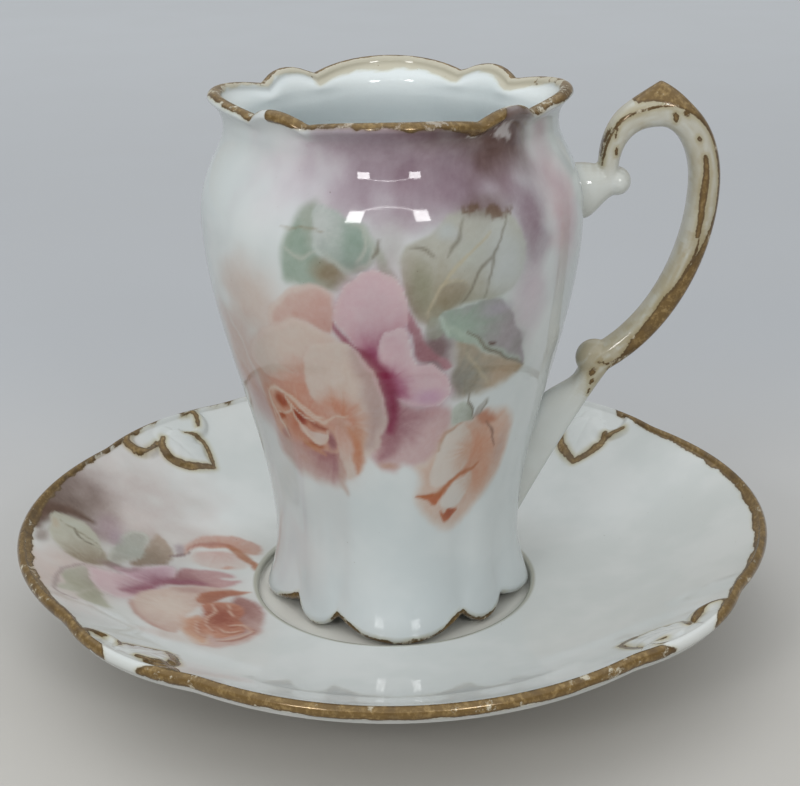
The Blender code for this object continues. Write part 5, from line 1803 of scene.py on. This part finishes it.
# Steps: from, to and the two ends, 0 and 1 if they aren't given
CLOUD_STEP = (0.35, 0.65)
SPECK_STEP = (0.80, 0.84, 0.0, 0.5)
PRINT_STEP = (0.2, 0.8, 0.0, 0.08)
FILM_STEP = (-0.06, 0.10)
EDGE_STEP = (0.10, 0.45, 1.0, 0.0)
WORN_STEP = (0.50, 0.70)
BRIGHT_STEP = (0.44, 0.72)
DARK_STEP = (0.50, 0.66, 0.0, 0.6)
METAL_STEP = (0.52, 0.70, 0.28, 0.0)
GLOSS_STEP = (0.3, 0.7, 0.035, 0.07)
NOISE_MIDDLE = -0.5
FRAY = 0.55
RUB_SPREAD = 1.9
EDGE_SHARE = 0.7
GOLD_ROUGHNESS = 0.38
RIPPLE = dict(Strength=0.03, Distance=0.6 * MM)
FLAKE = dict(Strength=0.25, Distance=0.06 * MM)
GLAZE_BENDING = 1.5

# %% The glaze and the gold


def gilded_porcelain(name, white, grey):
    """White glaze with enamel colours and rubbed gold."""
    material = bpy.data.materials.new(name)
    n = Nodes(material)
    spot = n.add("ShaderNodeTexCoord").outputs["Object"]
    body = n.blend(n.ease(n.noise(spot, *CLOUD_NOISE), *CLOUD_STEP), white, grey)
    body = n.blend(n.ease(n.noise(spot, *SPECK_NOISE), *SPECK_STEP), body, SPECK)
    painted = n.blend(1.0, body, n.colour("enamel"), "MULTIPLY")
    grain = n.ease(n.noise(spot, *PRINT_NOISE), *PRINT_STEP)
    painted = n.blend(grain, painted, n.colour("enamel"), "MULTIPLY")

    depth = n.sum(n.number("gilt"), n.sum(n.noise(spot, *FRAY_NOISE), NOISE_MIDDLE), FRAY)
    rub = n.sum(n.number("rubbed"), n.sum(n.noise(spot, *RUB_NOISE), NOISE_MIDDLE), RUB_SPREAD)
    film = n.ease(depth, *FILM_STEP)
    gold = n.blend(n.ease(n.noise(spot, *BRIGHT_NOISE), *BRIGHT_STEP), WHOLE_GOLD_AND_DARK_REFLECTION, GOLD_BRIGHT)
    gold = n.blend(n.ease(n.noise(spot, *DARK_NOISE), *DARK_STEP), gold, GOLD_DARK)
    gold = n.blend(n.times(n.ease(depth, *EDGE_STEP), EDGE_SHARE), gold, GOLD_DARK)
    gold = n.blend(n.ease(rub, *WORN_STEP), gold, n.blend(STAIN_SHARE, painted, STAIN))

    metal = n.times(film, n.ease(rub, *METAL_STEP))
    gloss = n.ease(n.noise(spot, *SMEAR_NOISE), *GLOSS_STEP)
    ripple = n.add("ShaderNodeBump", Height=n.noise(spot, *RIPPLE_NOISE), **RIPPLE)
    flake = n.add("ShaderNodeBump", Height=film, Normal=ripple.outputs[0], **FLAKE)
    n.give(
        Base_Color=n.blend(film, painted, gold),
        Metallic=metal,
        Roughness=n.sum(gloss, metal, GOLD_ROUGHNESS),
        Normal=flake.outputs[0],
        IOR=GLAZE_BENDING,
    )
    return material


cup_mesh.materials.append(gilded_porcelain("painted_cup_glaze", CUP_WHITE, CUP_GREY))
handle_mesh.materials.append(gilded_porcelain("gilt_handle_glaze", HANDLE_WHITE, HANDLE_GREY))
saucer_mesh.materials.append(gilded_porcelain("painted_saucer_glaze", SAUCER_WHITE, SAUCER_GREY))
print("materials:", sorted(m.name for m in bpy.data.materials if m.users))

# %% [markdown]
# ## Put the skins in place
# Each skin now takes the place of its solid and moves with that solid's body: the cup and its handle lift
# together, the saucer stays.

# %% Put the skins in place


def show_skin(name, mesh, node, body):
    """Show a mesh in place of a solid, moving with that solid's body."""
    piece = bpy.data.objects.new(name, mesh)
    bpy.context.scene.collection.objects.link(piece)
    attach(piece, body)
    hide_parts(node)
    print(f"{name}: {len(mesh.vertices)} points, {len(mesh.polygons)} faces")
    return piece


show_skin("cup_body_glazed", cup_mesh, "cup_body", "cup")
show_skin("cup_handle_gilt", handle_mesh, "cup_handle", "cup")
show_skin("saucer_glazed", saucer_mesh, "saucer", "saucer")

# %% [markdown]
# ## Floor
# The set stands on pale paper. One large sheet fills the whole picture. Light and shade are painted into
# its colour: a warm grey at the front, a darker band of painted shade behind the set, and a cool pale grey
# at the back, each changing slowly into the next.

# %% Floor
FLOOR_HALF = 3.0
# Painted light and shade on one sheet: warm and light in front, a shaded band, light at the back
PAPER_NEAR_WARM_LIGHT = (0.47, 0.455, 0.43, 1.0)
PAPER_MIDDLE_SHADE = (0.41, 0.425, 0.45, 1.0)
PAPER_FAR_LIGHT = (0.50, 0.52, 0.55, 1.0)
PAPER_PATCH = (0.38, 0.37, 0.37, 1.0)
PAPER_ROUGHNESS = 0.85
# Steps along the floor into the painted shade and the painted light, in metres
PAPER_SHADE_STEP = (-0.05, 0.15)
PAPER_LIGHT_STEP = (0.2, 0.7)
PATCH_NOISE = (40.0, 4.0)
PATCH_STEP = (0.3, 0.7, 0.0, 0.06)


def paper_floor():
    """A large pale sheet under the saucer."""
    mesh = bpy.data.meshes.new("paper_floor")
    corners = [(x * FLOOR_HALF, y * FLOOR_HALF, 0.0) for x, y in ((-1, -1), (1, -1), (1, 1), (-1, 1))]
    mesh.from_pydata(corners, [], [(0, 1, 2, 3)])
    material = bpy.data.materials.new("pale_paper")
    n = Nodes(material)
    spot = n.add("ShaderNodeTexCoord").outputs["Object"]
    back = n.add("ShaderNodeSeparateXYZ", Vector=spot).outputs["Y"]
    # Painted light and shade: the paper is darker in a band behind the set and lighter at the front and
    # back
    paper = n.blend(n.ease(back, *PAPER_SHADE_STEP), PAPER_NEAR_WARM_LIGHT, PAPER_MIDDLE_SHADE)
    paper = n.blend(n.ease(back, *PAPER_LIGHT_STEP), paper, PAPER_FAR_LIGHT)
    patch = n.ease(n.noise(spot, *PATCH_NOISE), *PATCH_STEP)
    n.give(Base_Color=n.blend(patch, paper, PAPER_PATCH), Roughness=PAPER_ROUGHNESS)
    mesh.materials.append(material)
    floor = bpy.data.objects.new("paper_floor", mesh)
    bpy.context.scene.collection.objects.link(floor)
    return floor


paper_floor()
print(f"floor: {2 * FLOOR_HALF:.0f} m square")

# %% [markdown]
# ## Light
# Soft light comes from all round, darker and warmer low down, where a room reflects its floor. A broad
# ceiling and a broad front lamp add to it without showing in the glaze. Two small bright panes high in
# front give the pairs of square glints on the shoulder, as ceiling panels do, and a thin strip above them
# gives the fine curved line that joins each pair.

# %% The room
HORIZON = (0.48, 0.64)
ROOM_STRENGTH = (0.43, 1.05)
ROOM_LOW = (1.0, 0.94, 0.84, 1.0)
ROOM_HIGH = (0.94, 0.98, 1.0, 1.0)


def soft_room():
    """An even pale room, darker and warmer low down."""
    world = bpy.data.worlds.new("soft_room")
    bpy.context.scene.world = world
    n = Nodes(world, "Background")
    spot = n.add("ShaderNodeTexCoord").outputs["Generated"]
    height = n.add("ShaderNodeSeparateXYZ", Vector=spot).outputs["Z"]
    tone = n.ease(height, *HORIZON, kind="LINEAR")
    strength = n.ease(height, *HORIZON, *ROOM_STRENGTH, kind="LINEAR")
    n.give(Color=n.blend(tone, ROOM_LOW, ROOM_HIGH), Strength=strength)


soft_room()
print("room light:", ROOM_STRENGTH[0], "low down and", ROOM_STRENGTH[1], "high up")

# %% Lamps
GLINT_TARGET = np.array((0.0, -26.0, 78.0))
PANE_DISTANCE = 700.0
PANE_SIZE = (140.0, 100.0)
PANE_POWER = 0.7
STRIP_SIZE = (640.0, 7.0)


def area_light(name, spot, target, size, power, mirrored=True):
    """A lamp at a spot, turned to a target, in millimetres; a soft one need not mirror in the glaze."""
    data = bpy.data.lights.new(name, "AREA")
    data.shape = "RECTANGLE"
    data.size = size[0] * MM
    data.size_y = size[1] * MM
    data.energy = power
    lamp = bpy.data.objects.new(name, data)
    bpy.context.scene.collection.objects.link(lamp)
    lamp.location = [c * MM for c in spot]
    facing = np.array(target) - np.array(spot)
    lamp.rotation_euler = Vector(facing).to_track_quat("-Z", "Y").to_euler()
    lamp.visible_glossy = mirrored
    return lamp


def pane_place(aside, up):
    """Where a pane hangs, by its angles aside from the front and up from the shoulder, in degrees."""
    aside = math.radians(aside)
    up = math.radians(up)
    direction = (math.sin(aside) * math.cos(up), -math.cos(aside) * math.cos(up), math.sin(up))
    return GLINT_TARGET + PANE_DISTANCE * np.array(direction)


area_light("ceiling", (-280.0, -60.0, 860.0),
           target=(0.0, 0.0, 40.0), size=(900.0, 700.0), power=1.4, mirrored=False)
area_light("front", (-250.0, -680.0, 220.0),
           target=(0.0, 0.0, 30.0), size=(900.0, 380.0), power=1.0, mirrored=False)
area_light("left_pane", pane_place(-34.0, 27.0), GLINT_TARGET, PANE_SIZE, PANE_POWER)
area_light("right_pane", pane_place(24.0, 27.0), GLINT_TARGET, PANE_SIZE, PANE_POWER)
area_light("thin_strip", pane_place(-6.0, 33.5), GLINT_TARGET, STRIP_SIZE, power=0.15)

# %% [markdown]
# ## Camera
# The camera looks down on the set from the front, at the height and with the lens that give the saucer's
# ellipse and the cup's height their true shapes in the picture.

# %% Camera
CAMERA_PLACE = (-3.0, -242.33, 134.89)
CAMERA_PITCH = math.radians(21.492)
CAMERA_YAW = math.radians(1.052)
CAMERA_ROLL = math.radians(-0.875)
PICTURE_WIDTH = 800.0
FOCAL_PIXELS = 1628.8
SENSOR = 36.0
NEAR_LIMIT = 0.01


def picture_camera():
    """The camera, turned by its yaw, pitch and roll."""
    forward = Vector((
        math.sin(CAMERA_YAW) * math.cos(CAMERA_PITCH), math.cos(CAMERA_YAW) * math.cos(CAMERA_PITCH),
        -math.sin(CAMERA_PITCH),
    ))
    right = Vector((math.cos(CAMERA_YAW), -math.sin(CAMERA_YAW), 0.0))
    up = right.cross(forward)
    rolled_right = math.cos(CAMERA_ROLL) * right + math.sin(CAMERA_ROLL) * up
    rolled_up = math.cos(CAMERA_ROLL) * up - math.sin(CAMERA_ROLL) * right
    data = bpy.data.cameras.new("picture_camera")
    data.sensor_width = SENSOR
    data.lens = FOCAL_PIXELS / PICTURE_WIDTH * SENSOR
    data.clip_start = NEAR_LIMIT
    camera = bpy.data.objects.new("picture_camera", data)
    bpy.context.scene.collection.objects.link(camera)
    turn = Matrix((rolled_right, rolled_up, -forward)).transposed().to_4x4()
    camera.matrix_world = Matrix.Translation(Vector(CAMERA_PLACE) * MM) @ turn
    return camera


bpy.context.scene.camera = picture_camera()
bpy.context.scene.view_settings.view_transform = "Standard"
print(f"lens {bpy.context.scene.camera.data.lens:.1f} mm")
